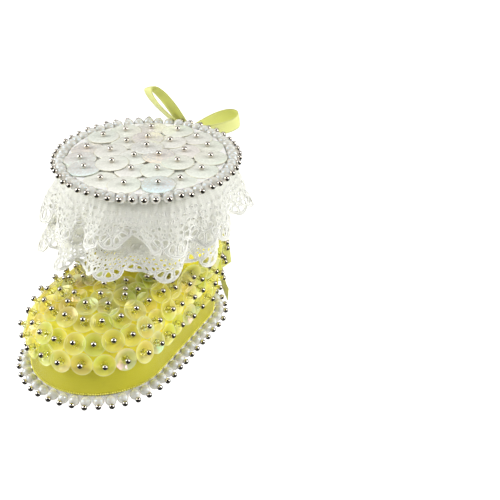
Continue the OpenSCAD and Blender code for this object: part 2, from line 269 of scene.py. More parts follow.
@dataclass(frozen=True)
class Outline:
    """One level outline of the form: a toe circle and a back circle joined by tangents."""

    toe_r: float
    toe_y: float
    back_r: float
    back_y: float

    @property
    def lean(self) -> float:
        """Angle of the tangents, in radians."""
        slope = (self.toe_r - self.back_r) / (self.back_y - self.toe_y)
        return math.asin(max(-1.0, min(1.0, slope)))

    @property
    def arcs(self) -> tuple[float, float, float]:
        """Lengths of the half toe arc, one tangent and the half back arc."""
        gap, step = self.back_y - self.toe_y, self.toe_r - self.back_r
        side = math.sqrt(max(0.0, gap * gap - step * step))
        return (self.toe_r * (math.pi / 2 + self.lean), side,
                self.back_r * (math.pi / 2 - self.lean))

    @property
    def half(self) -> float:
        """Length from the toe tip to the heel's middle."""
        return sum(self.arcs)

    def at(self, run: float) -> tuple[float, float, float]:
        """Point on the outline.

        Args:
            run: signed length from the toe tip, plus to +X.

        Returns:
            x, y and the outward angle measured from -Y.
        """
        toe_arc, side, _ = self.arcs
        length, sign = abs(run), -1.0 if run < 0 else 1.0
        turn = math.pi / 2 + self.lean
        if length <= toe_arc:
            a = length / self.toe_r
            x, y = self.toe_r * math.sin(a), self.toe_y - self.toe_r * math.cos(a)
        elif length <= toe_arc + side:
            a, t = turn, (length - toe_arc) / side
            x = mix(self.toe_r, self.back_r, t) * math.sin(a)
            y = mix(self.toe_y - self.toe_r * math.cos(a),
                    self.back_y - self.back_r * math.cos(a), t)
        else:
            a = turn + (length - toe_arc - side) / self.back_r
            x, y = self.back_r * math.sin(a), self.back_y - self.back_r * math.cos(a)
        return sign * x, y, sign * a


@dataclass(frozen=True)
class BootieForm:
    """The foam form's surface, with the CAD's own sizes in millimetres."""

    toe_r: float = 27.2
    toe_y: float = -21.3
    heel_r: float = 19.3
    heel_y: float = 21.0
    crown_r: float = 31.6
    crown_y: float = 12.3
    crown_z: float = 79.0
    lip_out: float = 0.6
    lip_h: float = 3.6
    dome_from: float = 12.0
    dome_top: float = 36.0
    instep_back: float = 9.0
    dome_power: float = 2.1
    flare_from: float = 14.0
    least_r: float = 0.02
    crown_soft_from: float = 78.0
    around: int = 144

    def level(self, z: float, grow: float = 0.0) -> Outline:
        """The outline at one height.

        Args:
            z: the height.
            grow: how far the outline is pushed outwards.

        Returns:
            The outline.
        """
        f = min(1.0, max(0.0, (z - self.flare_from) / (self.crown_z - self.flare_from)))
        back_r, back_y = mix(self.heel_r, self.crown_r, f), mix(self.heel_y, self.crown_y, f)
        d = min(1.0, max(0.0, (z - self.dome_from) / (self.dome_top - self.dome_from)))
        toe_r = self.least_r
        if d < 1.0:
            toe_r = self.toe_r * math.sqrt(max(0.0, 1.0 - d ** self.dome_power))
        toe_y = self.toe_y + self.instep_back * d ** 4 + 0.5 * max(0.0, z - self.dome_top)
        if toe_y - toe_r > back_y - back_r:
            toe_r, toe_y = self.least_r, back_y - back_r + 0.03
        return Outline(max(self.least_r, toe_r) + grow, toe_y, back_r + grow, back_y)

    def point(self, z: float, f: float) -> Vector:
        """Surface point at a height, f running from -1 to 1 round from heel to heel."""
        outline = self.level(z)
        x, y, _ = outline.at(f * outline.half)
        return Vector((x, y, z))

    def normal(self, z: float, f: float) -> Vector:
        """Outward direction of the surface at a height and a place round it."""
        round_it = self.point(z, f + 0.004) - self.point(z, f - 0.004)
        up_it = self.point(z + 0.05, f) - self.point(z - 0.05, f)
        return round_it.cross(up_it).normalized()

    def build(self, finish: bpy.types.Material) -> None:
        """Make the foam form: the sole slab with its softened lip, and the body above it.

        Args:
            finish: the foam material.
        """
        sole = [0.0, 0.5, 1.2, 2.2, 3.0, 3.4, self.lip_h, self.lip_h + 0.05, 6, 9, 12]
        dome = [12 + 1.2 * i for i in range(1, 20)]
        leg = [36, 37.5, 39, 41, 44, 48, 53, 59, 66, 73, 76.5, 78.2, 78.8, 79.0]
        heights = sole + dome + leg

        def grow(z: float) -> float:
            """How far the surface stands off the bare outline."""
            if z <= self.lip_h:
                return self.lip_out - (0.5 if z <= 0 else 0.15 if z <= 0.5 else 0.0)
            return -0.5 * max(0.0, z - self.crown_soft_from)

        bm = bmesh.new()
        loop = bmesh.ops.create_circle(bm, segments=self.around, radius=1.0,
                                       cap_ends=False)["verts"]
        order = sorted(loop, key=lambda vert: math.atan2(vert.co.x, -vert.co.y))
        rank = {vert: i for i, vert in enumerate(order)}

        def settle(verts: Sequence[bmesh.types.BMVert], z: float) -> None:
            """Move a loop of vertices onto one level."""
            outline = self.level(z, grow(z))
            for vert in verts:
                share = 2 * (rank[vert] + 0.5) / self.around - 1
                x, y, _ = outline.at(share * outline.half)
                vert.co = (x, y, z)

        settle(order, heights[0])
        bottom = list(bm.edges)
        edges = bottom
        for z in heights[1:]:
            made = bmesh.ops.extrude_edge_only(bm, edges=edges)["geom"]
            known = {v for v in made if isinstance(v, bmesh.types.BMVert)}
            for vert in known:
                mate = next(e.other_vert(vert) for e in vert.link_edges
                            if e.other_vert(vert) not in known)
                rank[vert] = rank[mate]
            settle(list(known), z)
            edges = [e for e in made if isinstance(e, bmesh.types.BMEdge)
                     and e.verts[0] in known and e.verts[1] in known]
        bmesh.ops.contextual_create(bm, geom=edges)
        bmesh.ops.contextual_create(bm, geom=bottom)
        bmesh.ops.recalc_face_normals(bm, faces=bm.faces)
        for face in bm.faces:
            face.smooth = len(face.verts) == 4
        finish_piece("foam_body", bm, finish, Slot.FOAM, ["foam_form"])


# --------------------------------------------------------------------------- sequins, beads, pins


@dataclass(frozen=True)
class RowPlan:
    """How one row of cupped sequins runs over the foot."""

    name: str
    toe_z: float
    heel_z: float
    count: int
    reach: float
    phase: float


@dataclass
class PinnedRow:
    """One row of cupped sequins, each held by a bead and a ball-head pin."""

    form: BootieForm
    plan: RowPlan
    cup_d: float = 9.0
    cup_depth: float = 1.35
    cup_flat: float = 2.6
    cup_wall: tuple[tuple[float, float], ...] = ((2.0, 0.24), (2.8, 0.58), (3.5, 0.97))
    cup_faces: int = 30
    hole_r: float = 0.5
    lift: float = 0.62
    bead_d: float = 3.0
    bead_h: float = 2.3
    bead_hole_r: float = 0.42
    bead_up: float = 0.27
    bead_faces: int = 14
    wire_in: float = 5.0
    wobble: float = 0.09
    stray: float = 0.45
    stray_up: float = 0.4
    steps: int = 150
    rng: random.Random = field(init=False)
    places: list[Matrix] = field(init=False)

    def __post_init__(self) -> None:
        """Seed the row and find where its sequins stand."""
        self.rng = random.Random(self.plan.name)
        self.places = list(self.find_places())

    def height(self, f: float) -> float:
        """Height of the row at a place round the foot."""
        return mix(self.plan.toe_z, self.plan.heel_z, ease(abs(f) * 1.25))

    def find_places(self) -> Iterable[Matrix]:
        """Space the sequins evenly along the row.

        Returns:
            One matrix for each sequin, its +Z along the foot's normal.
        """
        steps, plan = self.steps, self.plan
        fs = [(2 * i / steps - 1) * plan.reach for i in range(steps + 1)]
        path = [self.form.point(self.height(f), f) for f in fs]
        runs = [0.0]
        for a, b in zip(path, path[1:]):
            runs.append(runs[-1] + (b - a).length)
        last = runs[-1]
        for i in range(plan.count):
            if plan.reach >= 1:
                want = (i + 0.5 + plan.phase) / plan.count * last
                if want > last:
                    want -= last
                elif want < 0:
                    want += last
            else:
                want = (i + 0.5 + 0.5 * plan.phase) / (plan.count + 0.5) * last
            want += self.rng.uniform(-self.stray, self.stray)
            want = min(last - 1e-4, max(0.0, want))
            j = max(k for k in range(steps) if runs[k] <= want)
            f = mix(fs[j], fs[j + 1], (want - runs[j]) / max(1e-6, runs[j + 1] - runs[j]))
            z = self.height(f) + self.rng.uniform(-self.stray_up, self.stray_up)
            normal = self.form.normal(z, f)
            lean = Vector([self.rng.uniform(-self.wobble, self.wobble) for _ in range(3)])
            rise = 0.25 + (i % 2) * self.lift
            yield frame_at(self.form.point(z, f) + normal * rise, normal + lean,
                           self.rng.uniform(0, math.tau))

    def build(self, film: bpy.types.Material, glass: bpy.types.Material,
              steel: bpy.types.Material) -> None:
        """Make the row's sequins, beads and pins.

        Args:
            film: the sequins' material.
            glass: the beads' material.
            steel: the pins' material.
        """
        row = self.plan.name
        r, deep = self.cup_d / 2, self.cup_depth
        cup = turned([(self.hole_r, 0.03), (self.cup_flat / 2 - 0.2, 0.0),
                      (self.cup_flat / 2, 0.04), *self.cup_wall, (r - 0.14, deep),
                      (r, deep + 0.04), (r, deep - 0.1), (r - 0.12, deep - 0.13)],
                     self.cup_faces)
        finish_piece(f"cupped_film_{row}", stamped(cup, self.places, self.rng), film, Slot.CUP,
                     [f"cup_sequins_{row}"])
        up = Matrix.Translation((0, 0, self.bead_up))
        half, hole, tall = self.bead_d / 2, self.bead_hole_r, self.bead_h
        bead = turned([(hole, 0.25), (half * 0.55, 0.0), (half * 0.86, 0.12 * tall),
                       (half, 0.36 * tall), (half, 0.64 * tall), (half * 0.86, 0.88 * tall),
                       (half * 0.55, tall), (hole, tall - 0.25), (hole, 0.25)],
                      self.bead_faces)
        finish_piece(f"glass_bead_{row}", stamped(bead, [m @ up for m in self.places], self.rng),
                     glass, Slot.BEAD, [f"beads_{row}"])
        up = Matrix.Translation((0, 0, self.bead_up + tall + 0.05 + HEAD_R * 0.8))
        pins = stamped(ball_pin(tall + self.wire_in), [m @ up for m in self.places], self.rng)
        finish_piece(f"ball_pin_{row}", pins, steel, Slot.STEEL, [f"pins_{row}"])


def ball_pin(wire: float, faces: int = 14) -> bmesh.types.BMesh:
    """One pin: a slightly flattened ball head with a small collar on its wire.

    Args:
        wire: length of wire below the head's middle.
        faces: how many faces go round.

    Returns:
        The pin with its head's middle at the origin and its wire along -Z.
    """
    flat = 0.95 * HEAD_R
    ball = [(HEAD_R * math.cos(a), flat * math.sin(a))
            for a in (math.radians(d) for d in range(90, -66, -15))]
    ball[0] = (0.0, flat)
    collar = [(WIRE_R * 1.35, -HEAD_R * 0.93), (WIRE_R, -HEAD_R * 1.15), (WIRE_R, -wire)]
    return turned(ball + collar, faces)


@dataclass
class PearlRing:
    """A ring of pearls, each on its own ball-head pin."""

    name: str
    places: list[Matrix]
    cad: tuple[str, str]
    hole_r: float = 0.4
    faces: int = 20
    wire: float = 8.0

    def build(self, lustre: bpy.types.Material, steel: bpy.types.Material) -> None:
        """Make the ring's pearls and pins.

        Args:
            lustre: the pearls' material.
            steel: the pins' material.
        """
        rng, r = random.Random(self.name), PEARL_R
        wall = [(r * math.cos(a), r * math.sin(a))
                for a in (math.radians(d) for d in range(-75, 76, 15))]
        pearl = turned([(self.hole_r, -r * 0.9)] + wall + [(self.hole_r, r * 0.9)], self.faces)
        finish_piece(f"{self.name}_pearls", stamped(pearl, self.places, rng), lustre, Slot.PEARL,
                     [self.cad[0]])
        out = Matrix.Translation((0, 0, r + HEAD_R * 0.6))
        pins = stamped(ball_pin(self.wire), [m @ out for m in self.places], rng)
        finish_piece(f"{self.name}_ball_pins", pins, steel, Slot.STEEL, [self.cad[1]])


def sole_ring(form: BootieForm, count: int = 52, height: float = 2.6) -> PearlRing:
    """The ring of pearls round the sole lip.

    Args:
        form: the bootie form.
        count: how many pearls.
        height: the height of their middles.

    Returns:
        The ring, ready to build.
    """
    rng = random.Random("sole ring")
    outline = form.level(SIDE_Z, form.lip_out + PEARL_R + 0.02)
    places = []
    for i in range(count):
        run = ((i + 0.5) / count * 2 - 1) * outline.half + rng.uniform(-0.2, 0.2)
        x, y, a = outline.at(run)
        out = Vector((math.sin(a), -math.cos(a), rng.uniform(-0.32, 0.0)))
        at = Vector((x, y, height + rng.uniform(-0.12, 0.12)))
        places.append(frame_at(at, out, rng.uniform(0, 6)))
    return PearlRing("sole", places, ("base_pearls", "base_pearl_pins"))


def crown_ring(form: BootieForm, count: int = 50, height: float = 78.2,
               tip: float = 18.0, tip_back: float = 2.0) -> PearlRing:
    """The ring of pearls round the crown.

    Args:
        form: the bootie form.
        count: how many pearls.
        height: the height of their middles.
        tip: how far the pins tip up at the toe side, in degrees.
        tip_back: how far they tip up at the heel side.

    Returns:
        The ring, ready to build.
    """
    rng = random.Random("crown ring")
    places = []
    for i in range(count):
        a = (i + 0.5) / count * math.tau + rng.uniform(-0.008, 0.008)
        rise = math.radians(mix(tip_back, tip, 0.5 + 0.5 * math.cos(a)) + rng.uniform(-6, 6))
        level = math.cos(rise)
        out = Vector((math.sin(a) * level, -math.cos(a) * level, math.sin(rise)))
        r = form.crown_r + PEARL_R
        at = Vector((r * math.sin(a), form.crown_y - r * math.cos(a),
                     height + rng.uniform(-0.15, 0.15)))
        places.append(frame_at(at, out, rng.uniform(0, 6)))
    return PearlRing("crown", places, ("rim_pearls", "rim_pearl_pins"))


@dataclass
class SequinCrown:
    """The flat round top: three rounds of flat sequins that lap like scales."""

    form: BootieForm
    disc_d: float = 13.0
    disc_faces: int = 44
    lean_out: float = 0.035
    wire: float = 6.0
    rounds: tuple[tuple[str, int, float, float, float], ...] = (
        ("outer", 15, 25.2, 0.0, 0.12), ("middle", 9, 14.4, 18.0, 0.75),
        ("inner", 3, 5.0, -20.0, 1.3))

    def build(self, film: bpy.types.Material, steel: bpy.types.Material) -> None:
        """Make the rounds of sequins and their pins.

        Args:
            film: the sequins' material.
            steel: the pins' material.
        """
        rng = random.Random("crown")
        r = self.disc_d / 2
        heads: list[Matrix] = []
        for label, count, radius, phase, base in self.rounds:
            places = []
            for i in range(count):
                a = math.radians(phase + i * 360 / count + rng.uniform(-3, 3))
                away = radius + rng.uniform(-0.6, 0.6)
                at = Vector((away * math.sin(a), self.form.crown_y - away * math.cos(a),
                             self.form.crown_z + base + (i % 3) * 0.25))
                lean = Vector((math.sin(a) * self.lean_out, -math.cos(a) * self.lean_out, 1.0))
                lean += Vector((rng.uniform(-0.02, 0.02), rng.uniform(-0.02, 0.02), 0))
                matrix = frame_at(at, lean, rng.uniform(0, 6))
                places.append(matrix)
                heads.append(matrix @ Matrix.Translation((0, 0, HEAD_R))
                             @ Matrix.Rotation(rng.uniform(-0.12, 0.12), 4, "X"))
            disc = turned([(0.5, 0.16), (1.0, 0.18), (r * 0.55, 0.16), (r - 0.3, 0.08), (r, 0.0),
                           (r - 0.02, -0.12), (r - 0.4, -0.1)], self.disc_faces)
            finish_piece(f"flat_film_{label}", stamped(disc, places, rng), film, Slot.DISC,
                         [f"crown_sequins_{label}"])
        finish_piece("crown_sequin_pins", stamped(ball_pin(self.wire), heads, rng), steel,
                     Slot.STEEL, ["crown_pins"])


# --------------------------------------------------------------------------- satin


@dataclass
class SoleBand:
    """The satin ribbon round the side of the sole, with its corded selvedges."""

    form: BootieForm
    low: float = 3.8
    width: float = 12.0
    off: float = 0.12
    wall: float = 0.2
    lap: float = 9.0
    knots: int = 250
    cord_off: float = 0.34
    cord_up: float = 0.45

    def build(self, satin: bpy.types.Material, cord: bpy.types.Material) -> None:
        """Make the band, its doubled end and its lower selvedge.

        Args:
            satin: the ribbon's material.
            cord: the selvedge's material.
        """
        outline = self.form.level(SIDE_Z, self.off)
        length = 2 * outline.half + self.lap

        def place(u: float, v: float) -> Vector:
            """Point on the ribbon, the last stretch lying over the first."""
            run = u * length - self.lap / 2
            over = ease((run - 2 * outline.half + self.lap) / 6) * 0.5
            wrapped = run - outline.half
            if wrapped > outline.half:
                wrapped -= 2 * outline.half
            if wrapped < -outline.half:
                wrapped += 2 * outline.half
            x, y, a = outline.at(wrapped)
            bow = math.sin(v * math.pi)
            off = over + (0.05 * math.sin(run * 0.31) * bow + 0.10 * bow)
            return Vector((x + math.sin(a) * off, y - math.cos(a) * off,
                           self.low + self.width * (1 - v)))

        bm = sheet_over(place, 420, 10, (length, self.width))
        bmesh.ops.recalc_face_normals(bm, faces=bm.faces)
        band = finish_piece("sole_band", bm, satin, Slot.SOLE_SATIN, ["sole_ribbon"])
        wall = band.modifiers.new("cloth", "SOLIDIFY")
        wall.thickness, wall.offset = self.wall * MM, 1.0
        edge_line = self.form.level(SIDE_Z, self.cord_off)

        def edge(u: float, v: float) -> Vector:
            """Point on the knotted cord along the ribbon's lower edge."""
            x, y, a = edge_line.at((2 * u - 1) * edge_line.half)
            fat = 0.34 + 0.25 * math.cos(u * math.tau * self.knots)
            out, up = fat * math.cos(v * math.tau), fat * math.sin(v * math.tau)
            return Vector((x + math.sin(a) * out, y - math.cos(a) * out,
                           self.low + self.cord_up + up))

        bm = sheet_over(edge, self.knots * 4, 6, (2 * edge_line.half, 2.0), closed=True)
        bmesh.ops.recalc_face_normals(bm, faces=bm.faces)
        knots = finish_piece("sole_band_selvedge", bm, cord, Slot.SOLE_SATIN, ["sole_ribbon_edge"])


def ribbon(name: str, path: Callable[[float], Vector], side: Callable[[float], Vector],
           length: float, width: float, steps: int, finish: bpy.types.Material,
           nodes: Sequence[str], skew: float = 0.0, crown: float = 0.25) -> bpy.types.Object:
    """Make one length of narrow ribbon along a path.

    Args:
        name: the piece's name.
        path: the middle line, in millimetres, for a fraction of its length.
        side: the unit direction across the ribbon at a fraction of its length.
        length: the ribbon's flat length.
        width: its width.
        steps: faces along it.
        finish: the satin material.
        nodes: the CAD nodes it stands for.
        skew: how far the far end is cut on the slant.
        crown: how much it bows across its width.

    Returns:
        The new object.
    """
    def place(u: float, v: float) -> Vector:
        """Point on the ribbon."""
        slant = skew * (v - 0.5) * max(0.0, (u - 0.8) / 0.2)
        w = min(1.0, max(0.0, u + slant / length))
        ahead = (path(min(1.0, w + 0.01)) - path(max(0.0, w - 0.01))).normalized()
        across = side(w)
        proud = ahead.cross(across).normalized()
        return path(w) + across * width * (v - 0.5) + proud * crown * math.sin(v * math.pi)

    bm = sheet_over(place, steps, 8, (length, width))
    piece = finish_piece(name, bm, finish, Slot.BOW, nodes)
    wall = piece.modifiers.new("cloth", "SOLIDIFY")
    wall.thickness, wall.offset = 0.22 * MM, 0.0
    return piece


@dataclass
class Bow:
    """The narrow satin bow at the back of the crown."""

    form: BootieForm
    width: float = 7.0
    left_axis: Vector = field(default_factory=lambda: Vector((-0.706, -0.157, 0.686)))
    left_across: Vector = field(default_factory=lambda: Vector((0.872, -0.270, 0.405)))
    left_size: tuple[float, float] = (25.0, 3.3)
    right_axis: Vector = field(default_factory=lambda: Vector((0.543, 0.820, 0.180)))
    right_across: Vector = field(default_factory=lambda: Vector((0.063, -0.253, 0.960)))
    right_size: tuple[float, float] = (21.5, 5.0)
    pin_wire: float = 14.0

    def knot(self) -> Vector:
        """Middle of the bow, taken from the CAD knot."""
        low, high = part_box("bow_knot")
        return (low + high) / 2 / MM

    def build(self, satin: bpy.types.Material, steel: bpy.types.Material) -> None:
        """Make the loops, the wrap, the tails and the pin.

        Args:
            satin: the ribbon's material.
            steel: the pin's material.
        """
        knot = self.knot()
        self.build_loop("bow_left_loop", knot, self.left_axis, self.left_across,
                        self.left_size, satin, "bow_loop_left")
        self.build_loop("bow_right_loop", knot, self.right_axis, self.right_across,
                        self.right_size, satin, "bow_loop_right")
        self.build_wrap(knot, satin)
        start = knot + Vector((0, 1, -1))
        self.build_tail("bow_long_fall", (start, Vector((-12, 68, 40)), Vector((2, 52, 4.2)),
                                          Vector((16.3, 42.7, 4.4))),
                        Vector((0.25, 1, 0)), Vector((0.58, 0.81, 0)), "bow_tail_long", satin, 3.0)
        self.build_tail("bow_short_fall", (start, Vector((-12, 66, 56)), Vector((1, 56, 34)),
                                           Vector((12.7, 44.3, 16.8))),
                        Vector((0.25, 1, 0)), Vector((-0.6, 0.8, 0)), "bow_tail_short", satin, -3.5)
        place = frame_at(knot + Vector((0, 3.0, 0)), Vector((0, 1, 0)))
        pin = stamped(ball_pin(self.pin_wire), [place], random.Random("bow pin"))
        finish_piece("bow_ball_pin", pin, steel, Slot.STEEL, ["bow_pin"])

    def build_loop(self, name: str, knot: Vector, axis: Vector, across: Vector,
                   size: tuple[float, float], satin: bpy.types.Material, node: str) -> None:
        """Make one loop as a drop of ribbon that opens away from the knot.

        Args:
            name: the piece's name.
            knot: the bow's middle.
            axis: the direction the loop points.
            across: the direction across the ribbon.
            size: the loop's length and half its opening.
            satin: the ribbon's material.
            node: the CAD node it stands for.
        """
        axis, across = axis.normalized(), across.normalized()
        open_dir = axis.cross(across).normalized()
        length, fat = size

        def path(t: float) -> Vector:
            """Middle line of the ribbon round the drop."""
            a = t * math.tau
            along = length * (1 - math.cos(a)) / 2
            out = fat * math.sin(a) * abs(math.sin(a / 2)) ** 1.4
            return knot + axis * (along + 0.6) + open_dir * out

        def side(t: float) -> Vector:
            """Direction across the ribbon, gathered narrower near the knot."""
            pinch = mix(0.42, 1.0, ease(3.2 * math.sin(math.pi * t)))
            return across * pinch + open_dir * 0.16 * math.sin(t * math.tau)

        ribbon(name, path, side, 2.2 * length, self.width, 72, satin, [node])

    def build_wrap(self, knot: Vector, satin: bpy.types.Material) -> None:
        """Make the short wrap of ribbon that gathers the bow.

        Args:
            knot: the bow's middle.
            satin: the ribbon's material.
        """
        def place(u: float, v: float) -> Vector:
            """Point on the rounded wrap."""
            a = u * math.tau
            x = (v - 0.5) * 5.0
            pinch = (2.4 + 0.5 * math.cos(2 * a) + 0.35 * math.cos((v - 0.5) * math.pi * 2)
                     + 0.12 * math.sin(v * 40))
            return knot + Vector((x, 0.9 * pinch * math.cos(a), 1.05 * pinch * math.sin(a)))

        bm = sheet_over(place, 36, 14, (16.0, 5.0), closed=True)
        bmesh.ops.recalc_face_normals(bm, faces=bm.faces)
        wrap = finish_piece("bow_wrap", bm, satin, Slot.BOW, ["bow_knot"])
        wall = wrap.modifiers.new("cloth", "SOLIDIFY")
        wall.thickness, wall.offset = 0.25 * MM, -1.0

    def build_tail(self, name: str, steer: Sequence[Vector], face_top: Vector, face_end: Vector,
                   node: str, satin: bpy.types.Material, skew: float) -> None:
        """Make one tail that falls behind the frills and curls in round the heel.

        Args:
            name: the piece's name.
            steer: the four points that steer its middle line.
            face_top: the way its face looks at the knot.
            face_end: the way its face looks at its cut end.
            node: the CAD node it stands for.
            satin: the ribbon's material.
            skew: how far its end is cut on the slant.
        """
        def path(t: float) -> Vector:
            """Middle line of the tail."""
            s = 1 - t
            return (steer[0] * s ** 3 + steer[1] * (3 * s * s * t) + steer[2] * (3 * s * t * t)
                    + steer[3] * t ** 3)

        def side(t: float) -> Vector:
            """Direction across the tail, turning a little as it falls."""
            ahead = (path(min(1.0, t + 0.01)) - path(max(0.0, t - 0.01))).normalized()
            across = ahead.cross(face_top.lerp(face_end, t)).normalized()
            return across * mix(0.55, 1.0, min(1.0, t * 5))

        length = sum((path((k + 1) / 40) - path(k / 40)).length for k in range(40))
        ribbon(name, path, side, length, self.width, 90, satin, [node], skew)


# --------------------------------------------------------------------------- lace


@dataclass
class LacePattern:
    """One repeat of the lace: net, a web of loose meshes, and a fan of windows in each scallop."""

    pitch: float
    width: float
    windows: int = 5
    spread: float = 148.0
    fan_up: float = 9.3
    depth: float = 5.6
    window_r: float = 6.2
    window_long: float = 1.5
    window_wide: float = 0.92
    hem_cord_r: float = 0.40
    inner_cord_r: float = 0.30
    window_cord_r: float = 0.33
    mesh_cord_r: float = 0.21
    ring_in: float = 2.35
    meshes: list[tuple[float, float, float, float]] = field(init=False)

    def __post_init__(self) -> None:
        """Scatter the web's meshes."""
        rng = random.Random("web")
        self.meshes = []
        for row in range(5):
            v = self.fan_v + 3.1 - 2.25 * row
            count = round(self.pitch / (2.5 if row < 3 else 2.1))
            step = self.pitch / count
            for k in range(count):
                a = -self.pitch / 2 + (k + 0.5 * (row % 2)) * step + rng.uniform(-0.35, 0.35)
                if row == 0 and abs(a) > 4.0:
                    continue
                size = rng.uniform(0.45, 0.95) * (1.0 if row < 3 else 0.66)
                self.meshes.append((a, v + rng.uniform(-0.4, 0.4), size,
                                    size * rng.uniform(0.75, 1.15)))

    @property
    def fan_v(self) -> float:
        """How far down the fan's middle lies."""
        return self.width - self.fan_up

    def edge(self, a: float) -> float:
        """Depth of the hem at a sideways distance from the fan's middle."""
        x = min(1.0, abs(a) / (self.pitch / 2 + 0.15))
        return self.width - self.depth * (1 - math.sqrt(1 - x * x))

    def angles(self) -> list[float]:
        """Angles of the fan's windows, from straight down."""
        span = math.radians(self.spread)
        return [(-0.5 + (k + 0.5) / self.windows) * span for k in range(self.windows)]

    def window(self, p: float, t: float, grow: float) -> tuple[float, float]:
        """Point (a, v) on a window's rounded outline.

        Args:
            p: the window's angle.
            t: the place round its outline, in radians.
            grow: how far outside the opening.

        Returns:
            The point.
        """
        x = (self.window_wide + grow) * math.copysign(abs(math.sin(t)) ** 0.75, math.sin(t))
        y = (self.window_long + grow) * math.copysign(abs(math.cos(t)) ** 0.75, math.cos(t))
        x *= 1 + 0.16 * y
        r = self.window_r + y
        return r * math.sin(p) + x * math.cos(p), self.fan_v + r * math.cos(p) - x * math.sin(p)

    def is_open(self, a: float, v: float) -> bool:
        """Whether a point of the repeat is cut away.

        Args:
            a: sideways distance from the fan's middle.
            v: distance down from the heading.

        Returns:
            True inside an opening or past the hem.
        """
        if v > self.edge(a):
            return True
        for p in self.angles():
            y = a * math.sin(p) + (v - self.fan_v) * math.cos(p) - self.window_r
            x = (a * math.cos(p) - (v - self.fan_v) * math.sin(p)) / (1 + 0.16 * y)
            if abs(x / self.window_wide) ** 2.6 + abs(y / self.window_long) ** 2.6 < 1:
                return True
        for ma, mv, ra, rv in self.meshes:
            x = (a - ma + self.pitch / 2) % self.pitch - self.pitch / 2
            if (x / ra) ** 2 + ((v - mv) / rv) ** 2 < 0.8:
                return True
        return False

    def cords(self) -> list[tuple[list[tuple[float, float]], float, bool]]:
        """The outlining cords of one repeat.

        Returns:
            Points (a, v), radius and whether closed, for each cord.
        """
        out = []
        half = self.pitch / 2
        rim = [-half + self.pitch * i / 26 for i in range(27)]
        out.append(([(a, self.edge(a) + 0.12 * math.cos(i * math.pi)) for i, a in enumerate(rim)],
                    self.hem_cord_r, False))
        out.append(([(a * 0.95, self.edge(a) - 0.75) for a in rim], self.inner_cord_r, False))
        for p in self.angles():
            out.append(([self.window(p, math.tau * k / 12, 0.28) for k in range(12)],
                        self.window_cord_r, True))
        r = self.window_r - self.ring_in
        ring = [math.radians(d) for d in range(-78, 79, 12)]
        out.append(([(r * math.sin(t), self.fan_v + r * math.cos(t)) for t in ring],
                    self.inner_cord_r, False))
        for ma, mv, ra, rv in self.meshes:
            out.append(([(ma + (ra + 0.12) * math.sin(t), mv + (rv + 0.12) * math.cos(t))
                         for t in (math.tau * k / 7 for k in range(7))],
                        self.mesh_cord_r, True))
        return out


